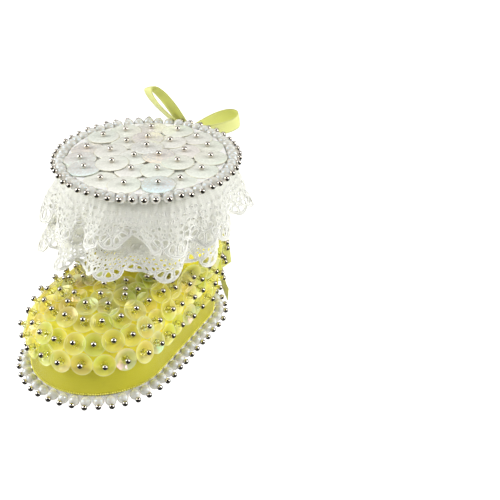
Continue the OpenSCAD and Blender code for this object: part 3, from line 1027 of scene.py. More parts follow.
@dataclass
class Frill:
    """A gathered lace frill round the leg of the bootie."""

    name: str
    form: BootieForm
    node: str
    top_z: float
    hem_z: float
    hem_r: float
    folds: int
    depth: float
    shift: float
    turn: float
    rise: float
    droop: float
    gather: int = 72
    samples: int = 1440
    measured_at: float = 0.8
    cell_long: float = 0.56
    cell_wide: float = 0.52
    stray: float = 0.07

    def bare(self, q: float, t: float) -> Vector:
        """Point on the frill.

        Args:
            q: angle round the leg, in radians, from the toe.
            t: fraction of the way down.

        Returns:
            The point in millimetres.
        """
        loose = t ** 1.15
        phase = (self.folds * q + self.turn + 0.35 * math.sin(2 * q + 1.3)
                 + 0.25 * math.sin(3 * q + 0.4))
        size = self.depth * (1 + 0.22 * math.sin(4 * q + 2.1 * self.turn))
        crest = math.cos(phase) + 0.16 * math.cos(3 * phase + 0.8 * math.sin(5 * q))
        top_r = self.form.level(self.top_z).back_r + 1.3
        r = mix(top_r, self.hem_r, math.sin(t ** 0.8 * math.pi / 2)) + size * loose * crest
        r += 0.20 * (1 - t) * math.cos(self.gather * q) * min(1.0, 6 * t + 0.2)
        r += 0.35 * loose * math.sin(31 * q + 3.0 * t) * math.sin(7 * t + 5 * q)
        aside = q + loose * (0.34 * math.sin(phase) + 0.40 * math.sin(2 * phase)) / self.folds
        aside += 0.05 * t * math.sin(5 * q + 4 * t)
        z = (mix(self.top_z, self.hem_z, t) - self.droop * loose * math.cos(phase + 0.5)
             + self.rise * loose * math.sin(3 * q + 0.7))
        level = self.form.level(min(z, self.form.crown_z))
        x = -self.shift * t + r * math.sin(aside)
        middle = mix(level.back_y, self.form.crown_y - 0.75 * self.shift, ease(2 * t))
        y = middle - r * math.cos(aside)
        off = math.hypot(x, y - level.back_y)
        out = max(1.0, (level.back_r + 0.9) / off)
        return Vector((x * out, level.back_y + (y - level.back_y) * out, z))

    def build(self, net: bpy.types.Material, cord: bpy.types.Material) -> None:
        """Make the net, cut its openings and lay its cords.

        Args:
            net: the net's material.
            cord: the cords' material.
        """
        count = self.samples
        runs, last = [0.0], self.bare(0.0, self.measured_at)
        for i in range(1, count + 1):
            here = self.bare(math.tau * i / count, self.measured_at)
            runs.append(runs[-1] + (here - last).length)
            last = here
        around = runs[-1]
        drops = [sum((self.bare(q, (k + 1) / 16) - self.bare(q, k / 16)).length for k in range(16))
                 for q in (math.tau * i / 48 for i in range(48))]
        width = sum(drops) / len(drops)
        repeats = 2 * self.folds
        pattern = LacePattern(around / repeats, width)

        def angle(u: float) -> float:
            """Angle round the leg for a length along the cloth."""
            lo, hi = 0, count
            u %= around
            while hi - lo > 1:
                m = (lo + hi) // 2
                lo, hi = (m, hi) if runs[m] <= u else (lo, m)
            return math.tau * (lo + (u - runs[lo]) / max(1e-9, runs[lo + 1] - runs[lo])) / count

        def place(u: float, v: float) -> Vector:
            """Point on the cloth for fractions of its length and width."""
            return self.bare(angle(u * around) if u < 1 else math.tau, min(1.0, v))

        bm = sheet_over(place, round(around / self.cell_long), round(width / self.cell_wide),
                        (around, width), closed=True)
        cloth = bm.loops.layers.uv["cloth"]
        gone = []
        for face in bm.faces:
            us = [loop[cloth].uv for loop in face.loops]
            u, v = sum(c.x for c in us) / 4, sum(c.y for c in us) / 4
            if pattern.is_open(u % pattern.pitch - pattern.pitch / 2, v):
                gone.append(face)
        bmesh.ops.delete(bm, geom=gone, context="FACES")
        bmesh.ops.recalc_face_normals(bm, faces=bm.faces)
        sheet = finish_piece(f"{self.name}_net", bm, net, Slot.LACE, [self.node])
        rng = random.Random(self.name)
        threads = []
        for k in range(repeats):
            middle = (k + 0.5) * pattern.pitch
            for points, radius, cyclic in pattern.cords():
                line = []
                for a, v in points:
                    a += rng.uniform(-self.stray, self.stray)
                    v += rng.uniform(-self.stray, self.stray)
                    line.append(self.bare(angle(middle + a), min(1.02, max(0.0, v / width))))
                threads.append((line, radius * rng.uniform(0.85, 1.15), cyclic))
        cords = thread_piece(f"{self.name}_cords", threads, cord, Slot.LACE)
        LOG.info("%s: %.0f mm of lace in %d repeats, %.1f mm wide", self.name, around,
                 repeats, width)


@dataclass
class Heading:
    """The plain net tape that holds the upper frill under the crown pearls."""

    form: BootieForm
    low: float = 72.3
    high: float = 77.5
    width: float = 5.6
    off: float = 0.55
    cord_off: float = 0.62
    cord_r: float = 0.16
    cord_points: int = 240

    def build(self, net: bpy.types.Material, cord: bpy.types.Material) -> None:
        """Make the tape and its three cords.

        Args:
            net: the tape's material.
            cord: the cords' material.
        """
        def at(u: float, v: float, off: float) -> Vector:
            """Point on the tape."""
            q, z = u * math.tau, mix(self.high, self.low, v)
            outline = self.form.level(z)
            r = outline.back_r + off + 0.10 * math.cos(64 * q) * v + 0.5 * v * v
            return Vector((r * math.sin(q), outline.back_y - r * math.cos(q), z))

        bm = sheet_over(lambda u, v: at(u, v, self.off), 384, 8,
                        (math.tau * self.form.crown_r, self.width), closed=True)
        bmesh.ops.recalc_face_normals(bm, faces=bm.faces)
        finish_piece("lace_tape", bm, net, Slot.LACE, ["lace_heading"])
        points = self.cord_points
        threads = [([at(k / points, v, self.cord_off) for k in range(points)], self.cord_r, True)
                   for v in (0.02, 0.62, 0.97)]
        thread_piece("lace_tape_cords", threads, cord, Slot.LACE)


# --------------------------------------------------------------------------- finishes


def new_finish(name: str) -> tuple[bpy.types.Material, bpy.types.NodeTree]:
    """Start an empty node material.

    Args:
        name: the finish's name.

    Returns:
        The material and its node tree.
    """
    material = bpy.data.materials.new(name)
    material.use_nodes = True
    material.node_tree.nodes.clear()
    return material, material.node_tree


def lay_out(tree: bpy.types.NodeTree, groups: dict[str, Sequence[bpy.types.Node]]) -> None:
    """Put the nodes in columns inside one frame for each effect.

    Args:
        tree: the node tree.
        groups: each effect's label and its nodes, from left to right.
    """
    for row, (label, nodes) in enumerate(groups.items()):
        box = tree.nodes.new("NodeFrame")
        box.label = label
        for column, node in enumerate(nodes):
            node.parent = box
            node.location = (column * 220 - 1200, -row * 420)


@dataclass(frozen=True)
class FoamFinish:
    """Expanded polystyrene: swollen white cells, painted yellow under the sequins."""

    white: Colour = (0.93, 0.92, 0.88, 1.0)
    paint: Colour = (0.96, 0.90, 0.12, 1.0)
    deep: Colour = (0.92, 0.80, 0.06, 1.0)
    low: float = 3.9
    high: float = 46.0

    def material(self) -> bpy.types.Material:
        """Build the foam's material."""
        material, tree = new_finish("bead_foam")
        nodes, link = tree.nodes, tree.links.new
        coords = nodes.new("ShaderNodeTexCoord")
        coords.label = "foam position"
        cells = nodes.new("ShaderNodeTexVoronoi")
        cells.label = "swollen foam cells"
        cells.feature = "DISTANCE_TO_EDGE"
        cells.inputs["Scale"].default_value = 420.0
        seams = nodes.new("ShaderNodeMapRange")
        seams.label = "seams between cells"
        seams.inputs["From Max"].default_value = 0.12
        patch = nodes.new("ShaderNodeTexNoise")
        patch.label = "uneven paint"
        patch.inputs["Scale"].default_value = 90.0
        patch.inputs["Detail"].default_value = 3.0
        paint = nodes.new("ShaderNodeMix")
        paint.label = "thin to thick paint"
        paint.data_type = "RGBA"
        paint.inputs[6].default_value = self.paint
        paint.inputs[7].default_value = self.deep
        split = nodes.new("ShaderNodeSeparateXYZ")
        split.label = "height on the foot"
        lower = nodes.new("ShaderNodeMath")
        lower.label = "above the sole lip"
        lower.operation = "GREATER_THAN"
        lower.inputs[1].default_value = self.low * MM
        upper = nodes.new("ShaderNodeMath")
        upper.label = "below the crown"
        upper.operation = "LESS_THAN"
        upper.inputs[1].default_value = self.high * MM
        zone = nodes.new("ShaderNodeMath")
        zone.label = "painted zone"
        zone.operation = "MULTIPLY"
        base = nodes.new("ShaderNodeMix")
        base.label = "paint over white foam"
        base.data_type = "RGBA"
        base.inputs[6].default_value = self.white
        bump = nodes.new("ShaderNodeBump")
        bump.label = "cell relief"
        bump.inputs["Strength"].default_value = 0.5
        bump.inputs["Distance"].default_value = 0.25 * MM
        shader = nodes.new("ShaderNodeBsdfPrincipled")
        shader.label = "matte foam"
        shader.inputs["Roughness"].default_value = 0.7
        shader.inputs["Subsurface Weight"].default_value = 0.15
        shader.inputs["Subsurface Radius"].default_value = (0.002, 0.0017, 0.001)
        out = nodes.new("ShaderNodeOutputMaterial")
        out.label = "foam"
        link(coords.outputs["Object"], cells.inputs["Vector"])
        link(cells.outputs["Distance"], seams.inputs["Value"])
        link(coords.outputs["Object"], patch.inputs["Vector"])
        link(patch.outputs["Fac"], paint.inputs[0])
        link(coords.outputs["Object"], split.inputs["Vector"])
        link(split.outputs["Z"], lower.inputs[0])
        link(split.outputs["Z"], upper.inputs[0])
        link(lower.outputs["Value"], zone.inputs[0])
        link(upper.outputs["Value"], zone.inputs[1])
        link(zone.outputs["Value"], base.inputs[0])
        link(paint.outputs[2], base.inputs[7])
        link(base.outputs[2], shader.inputs["Base Color"])
        link(seams.outputs["Result"], bump.inputs["Height"])
        link(bump.outputs["Normal"], shader.inputs["Normal"])
        link(shader.outputs["BSDF"], out.inputs["Surface"])
        lay_out(tree, {"foam cells": (coords, cells, seams, bump),
                       "paint": (patch, paint, split, lower, upper, zone, base),
                       "surface": (shader, out)})
        return material


@dataclass(frozen=True)
class FilmFinish:
    """Sequin film: a tinted plastic with a rainbow coating, lit and worn by chance."""

    name: str
    tints: tuple[tuple[float, Colour], ...]
    # rim colour is painted light: a paler rim is a painted edge highlight on the cups, a cream rim
    # is painted edge shade on the flat discs
    rim: Colour
    rim_from: float
    radius: float
    clear_middle: float
    clear_rim: float
    roughness: float
    film_from: float
    film_nm: float
    glow_scale: float
    glow_amount: float
    glow_through: float
    relief: float
    through: Colour

    def material(self) -> bpy.types.Material:
        """Build the film's material."""
        material, tree = new_finish(self.name)
        nodes, link = tree.nodes, tree.links.new
        own = nodes.new("ShaderNodeUVMap")
        own.label = "place on the sequin"
        own.uv_map = "own"
        length = nodes.new("ShaderNodeVectorMath")
        length.label = "distance from the pin hole"
        length.operation = "LENGTH"
        chance = nodes.new("ShaderNodeAttribute")
        chance.label = "each sequin's own chance"
        chance.attribute_name = "chance"
        tint = nodes.new("ShaderNodeValToRGB")
        tint.label = "batch tint"
        ramp = tint.color_ramp
        while len(ramp.elements) < len(self.tints):
            ramp.elements.new(0.5)
        for element, (place, colour) in zip(ramp.elements, self.tints):
            element.position, element.color = place, colour
        coords = nodes.new("ShaderNodeTexCoord")
        coords.label = "place on the bootie"
        glow = nodes.new("ShaderNodeTexNoise")
        glow.label = "drift of the rainbow coat"
        glow.inputs["Scale"].default_value = self.glow_scale
        glow.inputs["Detail"].default_value = 0.0
        hue = nodes.new("ShaderNodeValToRGB")
        hue.label = "mint, cream and rose of the coat"
        stops = hue.color_ramp
        stops.elements.new(0.45)
        stops.elements.new(0.6)
        for element, (place, colour) in zip(stops.elements, (
                (0.34, (0.72, 1.0, 0.84, 1)), (0.46, (1, 1, 1, 1)), (0.58, (1, 1, 1, 1)),
                (0.70, (1.0, 0.78, 0.80, 1)))):
            element.position, element.color = place, colour
        coat = nodes.new("ShaderNodeMix")
        coat.label = "coat over the tint"
        coat.data_type, coat.blend_type = "RGBA", "MULTIPLY"
        coat.inputs[0].default_value = self.glow_amount
        rim = nodes.new("ShaderNodeMapRange")
        rim.label = "stamped rim"
        rim.inputs["From Min"].default_value = self.rim_from
        rim.inputs["From Max"].default_value = self.radius
        rim_painted_light = nodes.new("ShaderNodeMix")
        # painted light: the rim colour gives the cups a painted highlight line and the discs
        # painted shade along their lapped edges
        rim_painted_light.label = "rim with painted edge light and shade"
        rim_painted_light.data_type = "RGBA"
        rim_painted_light.inputs[7].default_value = self.rim
        solid = nodes.new("ShaderNodeMapRange")
        solid.label = "film is clearest in the middle"
        solid.inputs["From Min"].default_value = self.rim_from * 0.3
        solid.inputs["From Max"].default_value = self.radius
        solid.inputs["To Min"].default_value = self.clear_middle
        solid.inputs["To Max"].default_value = self.clear_rim
        colours = nodes.new("ShaderNodeMapRange")
        colours.label = "only some are rainbow coated"
        colours.inputs["From Min"].default_value = self.film_from
        colours.inputs["To Max"].default_value = self.film_nm
        fine = nodes.new("ShaderNodeTexNoise")
        fine.label = "handling scuffs"
        fine.inputs["Scale"].default_value = 900.0
        fine.inputs["Detail"].default_value = 4.0
        rough = nodes.new("ShaderNodeMapRange")
        rough.label = "gloss with scuffs"
        rough.inputs["To Min"].default_value = self.roughness * 0.7
        rough.inputs["To Max"].default_value = self.roughness * 1.5
        wave = nodes.new("ShaderNodeTexNoise")
        wave.label = "rolled film ripple"
        wave.inputs["Scale"].default_value = 260.0
        bump = nodes.new("ShaderNodeBump")
        bump.label = "ripple relief"
        bump.inputs["Strength"].default_value = self.relief
        bump.inputs["Distance"].default_value = 0.4 * MM
        shader = nodes.new("ShaderNodeBsdfPrincipled")
        shader.label = "coated film"
        shader.inputs["IOR"].default_value = 1.5
        shader.inputs["Coat Weight"].default_value = 0.35
        shader.inputs["Coat Roughness"].default_value = 0.05
        shader.inputs["Thin Film IOR"].default_value = 1.9
        through = nodes.new("ShaderNodeBsdfTranslucent")
        through.label = "light from behind the film"
        blend = nodes.new("ShaderNodeMixShader")
        blend.label = "surface and glow"
        blend.inputs["Fac"].default_value = self.glow_through
        gap = nodes.new("ShaderNodeBsdfTransparent")
        gap.label = "seen through"
        gap.inputs["Color"].default_value = self.through
        veil = nodes.new("ShaderNodeMixShader")
        veil.label = "film over what lies under it"
        out = nodes.new("ShaderNodeOutputMaterial")
        out.label = "sequin"
        link(own.outputs["UV"], length.inputs[0])
        link(chance.outputs["Fac"], tint.inputs["Fac"])
        link(coords.outputs["Object"], glow.inputs["Vector"])
        link(glow.outputs["Fac"], hue.inputs["Fac"])
        link(tint.outputs["Color"], coat.inputs[6])
        link(hue.outputs["Color"], coat.inputs[7])
        link(length.outputs["Value"], rim.inputs["Value"])
        link(rim.outputs["Result"], rim_painted_light.inputs[0])
        link(coat.outputs[2], rim_painted_light.inputs[6])
        link(rim_painted_light.outputs[2], shader.inputs["Base Color"])
        link(rim_painted_light.outputs[2], through.inputs["Color"])
        link(length.outputs["Value"], solid.inputs["Value"])
        link(chance.outputs["Fac"], colours.inputs["Value"])
        link(colours.outputs["Result"], shader.inputs["Thin Film Thickness"])
        link(coords.outputs["Object"], fine.inputs["Vector"])
        link(fine.outputs["Fac"], rough.inputs["Value"])
        link(rough.outputs["Result"], shader.inputs["Roughness"])
        link(coords.outputs["Object"], wave.inputs["Vector"])
        link(wave.outputs["Fac"], bump.inputs["Height"])
        link(bump.outputs["Normal"], shader.inputs["Normal"])
        link(shader.outputs["BSDF"], blend.inputs[1])
        link(through.outputs["BSDF"], blend.inputs[2])
        link(solid.outputs["Result"], veil.inputs["Fac"])
        link(gap.outputs["BSDF"], veil.inputs[1])
        link(blend.outputs["Shader"], veil.inputs[2])
        link(veil.outputs["Shader"], out.inputs["Surface"])
        lay_out(tree, {"tint": (own, length, chance, tint, coords, glow, hue, coat, rim, rim_painted_light),
                       "clearness": (solid, gap, veil), "rainbow": (colours,),
                       "gloss": (fine, rough, wave, bump),
                       "surface": (shader, through, blend, out)})
        return material


@dataclass(frozen=True)
class GlassFinish:
    """Clear pressed glass for the seed beads."""

    body: Colour = (0.965, 0.985, 0.955, 1.0)

    def material(self) -> bpy.types.Material:
        """Build the glass."""
        material, tree = new_finish("bead_glass")
        nodes, link = tree.nodes, tree.links.new
        coords = nodes.new("ShaderNodeTexCoord")
        coords.label = "bead position"
        seeds = nodes.new("ShaderNodeTexNoise")
        seeds.label = "pressed unevenness"
        seeds.inputs["Scale"].default_value = 700.0
        bump = nodes.new("ShaderNodeBump")
        bump.label = "soft ripples"
        bump.inputs["Strength"].default_value = 0.18
        bump.inputs["Distance"].default_value = 0.2 * MM
        rough = nodes.new("ShaderNodeMapRange")
        rough.label = "fire-polished gloss"
        rough.inputs["To Min"].default_value = 0.01
        rough.inputs["To Max"].default_value = 0.08
        shader = nodes.new("ShaderNodeBsdfPrincipled")
        shader.label = "clear glass"
        shader.inputs["Base Color"].default_value = self.body
        shader.inputs["IOR"].default_value = 1.36
        shader.inputs["Transmission Weight"].default_value = 1.0
        clear = nodes.new("ShaderNodeBsdfTransparent")
        clear.label = "light straight through the wall"
        clear.inputs["Color"].default_value = self.body
        edge = nodes.new("ShaderNodeLayerWeight")
        edge.label = "more gloss at the edge"
        edge.inputs["Blend"].default_value = 0.68
        blend = nodes.new("ShaderNodeMixShader")
        blend.label = "thin clear wall"
        out = nodes.new("ShaderNodeOutputMaterial")
        out.label = "glass bead"
        link(coords.outputs["Object"], seeds.inputs["Vector"])
        link(seeds.outputs["Fac"], bump.inputs["Height"])
        link(seeds.outputs["Fac"], rough.inputs["Value"])
        link(rough.outputs["Result"], shader.inputs["Roughness"])
        link(bump.outputs["Normal"], shader.inputs["Normal"])
        link(edge.outputs["Facing"], blend.inputs["Fac"])
        link(clear.outputs["BSDF"], blend.inputs[1])
        link(shader.outputs["BSDF"], blend.inputs[2])
        link(blend.outputs["Shader"], out.inputs["Surface"])
        lay_out(tree, {"pressing marks": (coords, seeds, bump, rough), "clearness": (edge, clear),
                       "surface": (shader, blend, out)})
        return material


@dataclass(frozen=True)
class SteelFinish:
    """Bright nickel-plated steel for the pins."""

    plate: Colour = (0.72, 0.68, 0.62, 1.0)
    dull: Colour = (0.56, 0.51, 0.44, 1.0)

    def material(self) -> bpy.types.Material:
        """Build the plated steel."""
        material, tree = new_finish("plated_steel")
        nodes, link = tree.nodes, tree.links.new
        coords = nodes.new("ShaderNodeTexCoord")
        coords.label = "pin position"
        tarnish = nodes.new("ShaderNodeTexNoise")
        tarnish.label = "faint tarnish"
        tarnish.inputs["Scale"].default_value = 600.0
        tarnish.inputs["Detail"].default_value = 3.0
        colour = nodes.new("ShaderNodeMix")
        colour.label = "plate to tarnish"
        colour.data_type = "RGBA"
        colour.inputs[6].default_value = self.plate
        colour.inputs[7].default_value = self.dull
        rough = nodes.new("ShaderNodeMapRange")
        rough.label = "polish"
        rough.inputs["To Min"].default_value = 0.02
        rough.inputs["To Max"].default_value = 0.09
        scratch = nodes.new("ShaderNodeTexNoise")
        scratch.label = "tumbling marks"
        scratch.inputs["Scale"].default_value = 2600.0
        bump = nodes.new("ShaderNodeBump")
        bump.label = "mark relief"
        bump.inputs["Strength"].default_value = 0.03
        bump.inputs["Distance"].default_value = 0.02 * MM
        shader = nodes.new("ShaderNodeBsdfPrincipled")
        shader.label = "nickel plate"
        shader.inputs["Metallic"].default_value = 1.0
        out = nodes.new("ShaderNodeOutputMaterial")
        out.label = "pin"
        link(coords.outputs["Object"], tarnish.inputs["Vector"])
        link(tarnish.outputs["Fac"], colour.inputs[0])
        link(colour.outputs[2], shader.inputs["Base Color"])
        link(tarnish.outputs["Fac"], rough.inputs["Value"])
        link(rough.outputs["Result"], shader.inputs["Roughness"])
        link(coords.outputs["Object"], scratch.inputs["Vector"])
        link(scratch.outputs["Fac"], bump.inputs["Height"])
        link(bump.outputs["Normal"], shader.inputs["Normal"])
        link(shader.outputs["BSDF"], out.inputs["Surface"])
        lay_out(tree, {"plate": (coords, tarnish, colour, rough), "marks": (scratch, bump),
                       "surface": (shader, out)})
        return material


@dataclass(frozen=True)
class PearlFinish:
    """Pearl lacquer over a plastic bead."""

    body: Colour = (0.80, 0.785, 0.71, 1.0)
    warm: Colour = (0.70, 0.665, 0.57, 1.0)

    def material(self) -> bpy.types.Material:
        """Build the pearl lacquer."""
        material, tree = new_finish("pearl_lacquer")
        nodes, link = tree.nodes, tree.links.new
        coords = nodes.new("ShaderNodeTexCoord")
        coords.label = "pearl position"
        cloud = nodes.new("ShaderNodeTexNoise")
        cloud.label = "lustre clouds"
        cloud.inputs["Scale"].default_value = 300.0
        cloud.inputs["Detail"].default_value = 2.0
        chance = nodes.new("ShaderNodeAttribute")
        chance.label = "each pearl's own chance"
        chance.attribute_name = "chance"
        blend = nodes.new("ShaderNodeMath")
        blend.label = "cloud and chance"
        blend.operation = "MULTIPLY"
        colour = nodes.new("ShaderNodeMix")
        colour.label = "white to warm lustre"
        colour.data_type = "RGBA"
        colour.inputs[6].default_value = self.body
        colour.inputs[7].default_value = self.warm
        bump = nodes.new("ShaderNodeBump")
        bump.label = "dipped lacquer"
        bump.inputs["Strength"].default_value = 0.06
        bump.inputs["Distance"].default_value = 0.1 * MM
        shader = nodes.new("ShaderNodeBsdfPrincipled")
        shader.label = "pearl lacquer"
        shader.inputs["Roughness"].default_value = 0.15
        shader.inputs["Specular IOR Level"].default_value = 0.8
        shader.inputs["Coat Weight"].default_value = 1.0
        shader.inputs["Coat Roughness"].default_value = 0.06
        shader.inputs["Subsurface Weight"].default_value = 0.25
        shader.inputs["Subsurface Radius"].default_value = (0.0012, 0.001, 0.0008)
        shader.inputs["Thin Film Thickness"].default_value = 150.0
        shader.inputs["Thin Film IOR"].default_value = 1.38
        out = nodes.new("ShaderNodeOutputMaterial")
        out.label = "pearl"
        link(coords.outputs["Object"], cloud.inputs["Vector"])
        link(cloud.outputs["Fac"], blend.inputs[0])
        link(chance.outputs["Fac"], blend.inputs[1])
        link(blend.outputs["Value"], colour.inputs[0])
        link(colour.outputs[2], shader.inputs["Base Color"])
        link(cloud.outputs["Fac"], bump.inputs["Height"])
        link(bump.outputs["Normal"], shader.inputs["Normal"])
        link(shader.outputs["BSDF"], out.inputs["Surface"])
        lay_out(tree, {"lustre": (coords, cloud, chance, blend, colour), "lacquer": (bump,),
                       "surface": (shader, out)})
        return material


@dataclass(frozen=True)
class SatinFinish:
    """Polyester satin ribbon: long floats across a fine weave, with corded selvedges."""

    name: str
    light: Colour
    shade: Colour
    width: float
    sheen: float
    sheen_tint: Colour
    lustre: float = 0.3
    ribs: float = 2.6
    selvedge: float = 0.5

    def material(self) -> bpy.types.Material:
        """Build the satin."""
        material, tree = new_finish(self.name)
        nodes, link = tree.nodes, tree.links.new
        cloth = nodes.new("ShaderNodeUVMap")
        cloth.label = "place on the ribbon"
        cloth.uv_map = "cloth"
        split = nodes.new("ShaderNodeSeparateXYZ")
        split.label = "along and across"
        streak_map = nodes.new("ShaderNodeMapping")
        streak_map.label = "streaks run along the ribbon"
        streak_map.inputs["Scale"].default_value = (0.12, 5.0, 1.0)
        streak = nodes.new("ShaderNodeTexNoise")
        streak.label = "satin floats"
        streak.inputs["Scale"].default_value = 1.0
        streak.inputs["Detail"].default_value = 3.0
        weft = nodes.new("ShaderNodeTexWave")
        weft.label = "weft ribs"
        weft.bands_direction = "X"
        weft.inputs["Scale"].default_value = self.ribs
        weft.inputs["Distortion"].default_value = 0.6
        weft.inputs["Detail"].default_value = 1.0
        colour = nodes.new("ShaderNodeMix")
        colour.label = "floats catch the light"
        colour.data_type = "RGBA"
        colour.inputs[6].default_value = self.shade
        colour.inputs[7].default_value = self.light
        centre = nodes.new("ShaderNodeMath")
        centre.label = "distance from the middle"
        centre.operation = "SUBTRACT"
        centre.inputs[1].default_value = self.width / 2
        away = nodes.new("ShaderNodeMath")
        away.label = "either side"
        away.operation = "ABSOLUTE"
        hem = nodes.new("ShaderNodeMapRange")
        hem.label = "selvedge zone"
        hem.inputs["From Min"].default_value = self.width / 2 - self.selvedge
        hem.inputs["From Max"].default_value = self.width / 2 - self.selvedge + 0.12
        edged = nodes.new("ShaderNodeMix")
        edged.label = "selvedge colour"
        edged.data_type = "RGBA"
        edged.inputs[7].default_value = tuple(0.72 * c for c in self.shade[:3]) + (1.0,)
        strength = nodes.new("ShaderNodeMath")
        strength.label = "faint selvedge"
        strength.operation = "MULTIPLY"
        strength.inputs[1].default_value = 0.5
        height = nodes.new("ShaderNodeMath")
        height.label = "weave height"
        height.operation = "ADD"
        bump = nodes.new("ShaderNodeBump")
        bump.label = "weave relief"
        bump.inputs["Strength"].default_value = 0.32
        bump.inputs["Distance"].default_value = 0.12 * MM
        rough = nodes.new("ShaderNodeMapRange")
        rough.label = "sheen of the floats"
        rough.inputs["To Min"].default_value = 0.24
        rough.inputs["To Max"].default_value = 0.42
        shader = nodes.new("ShaderNodeBsdfPrincipled")
        shader.label = "satin"
        shader.inputs["Metallic"].default_value = self.lustre
        shader.inputs["Anisotropic"].default_value = 0.6
        shader.inputs["Sheen Weight"].default_value = self.sheen
        shader.inputs["Sheen Tint"].default_value = self.sheen_tint
        shader.inputs["Sheen Roughness"].default_value = 0.35
        shader.inputs["Specular IOR Level"].default_value = 0.62
        shader.inputs["Subsurface Weight"].default_value = 0.08
        shader.inputs["Subsurface Radius"].default_value = (0.001, 0.001, 0.0004)
        out = nodes.new("ShaderNodeOutputMaterial")
        out.label = "ribbon"
        link(cloth.outputs["UV"], split.inputs["Vector"])
        link(cloth.outputs["UV"], streak_map.inputs["Vector"])
        link(streak_map.outputs["Vector"], streak.inputs["Vector"])
        link(cloth.outputs["UV"], weft.inputs["Vector"])
        link(streak.outputs["Fac"], colour.inputs[0])
        link(split.outputs["Y"], centre.inputs[0])
        link(centre.outputs["Value"], away.inputs[0])
        link(away.outputs["Value"], hem.inputs["Value"])
        link(hem.outputs["Result"], strength.inputs[0])
        link(strength.outputs["Value"], edged.inputs[0])
        link(colour.outputs[2], edged.inputs[6])
        link(edged.outputs[2], shader.inputs["Base Color"])
        link(weft.outputs["Fac"], height.inputs[0])
        link(hem.outputs["Result"], height.inputs[1])
        link(height.outputs["Value"], bump.inputs["Height"])
        link(bump.outputs["Normal"], shader.inputs["Normal"])
        link(streak.outputs["Fac"], rough.inputs["Value"])
        link(rough.outputs["Result"], shader.inputs["Roughness"])
        link(shader.outputs["BSDF"], out.inputs["Surface"])
        lay_out(tree, {"floats": (cloth, split, streak_map, streak, colour),
                       "selvedge": (centre, away, hem, strength, edged),
                       "weave": (weft, height, bump, rough), "surface": (shader, out)})
        return material


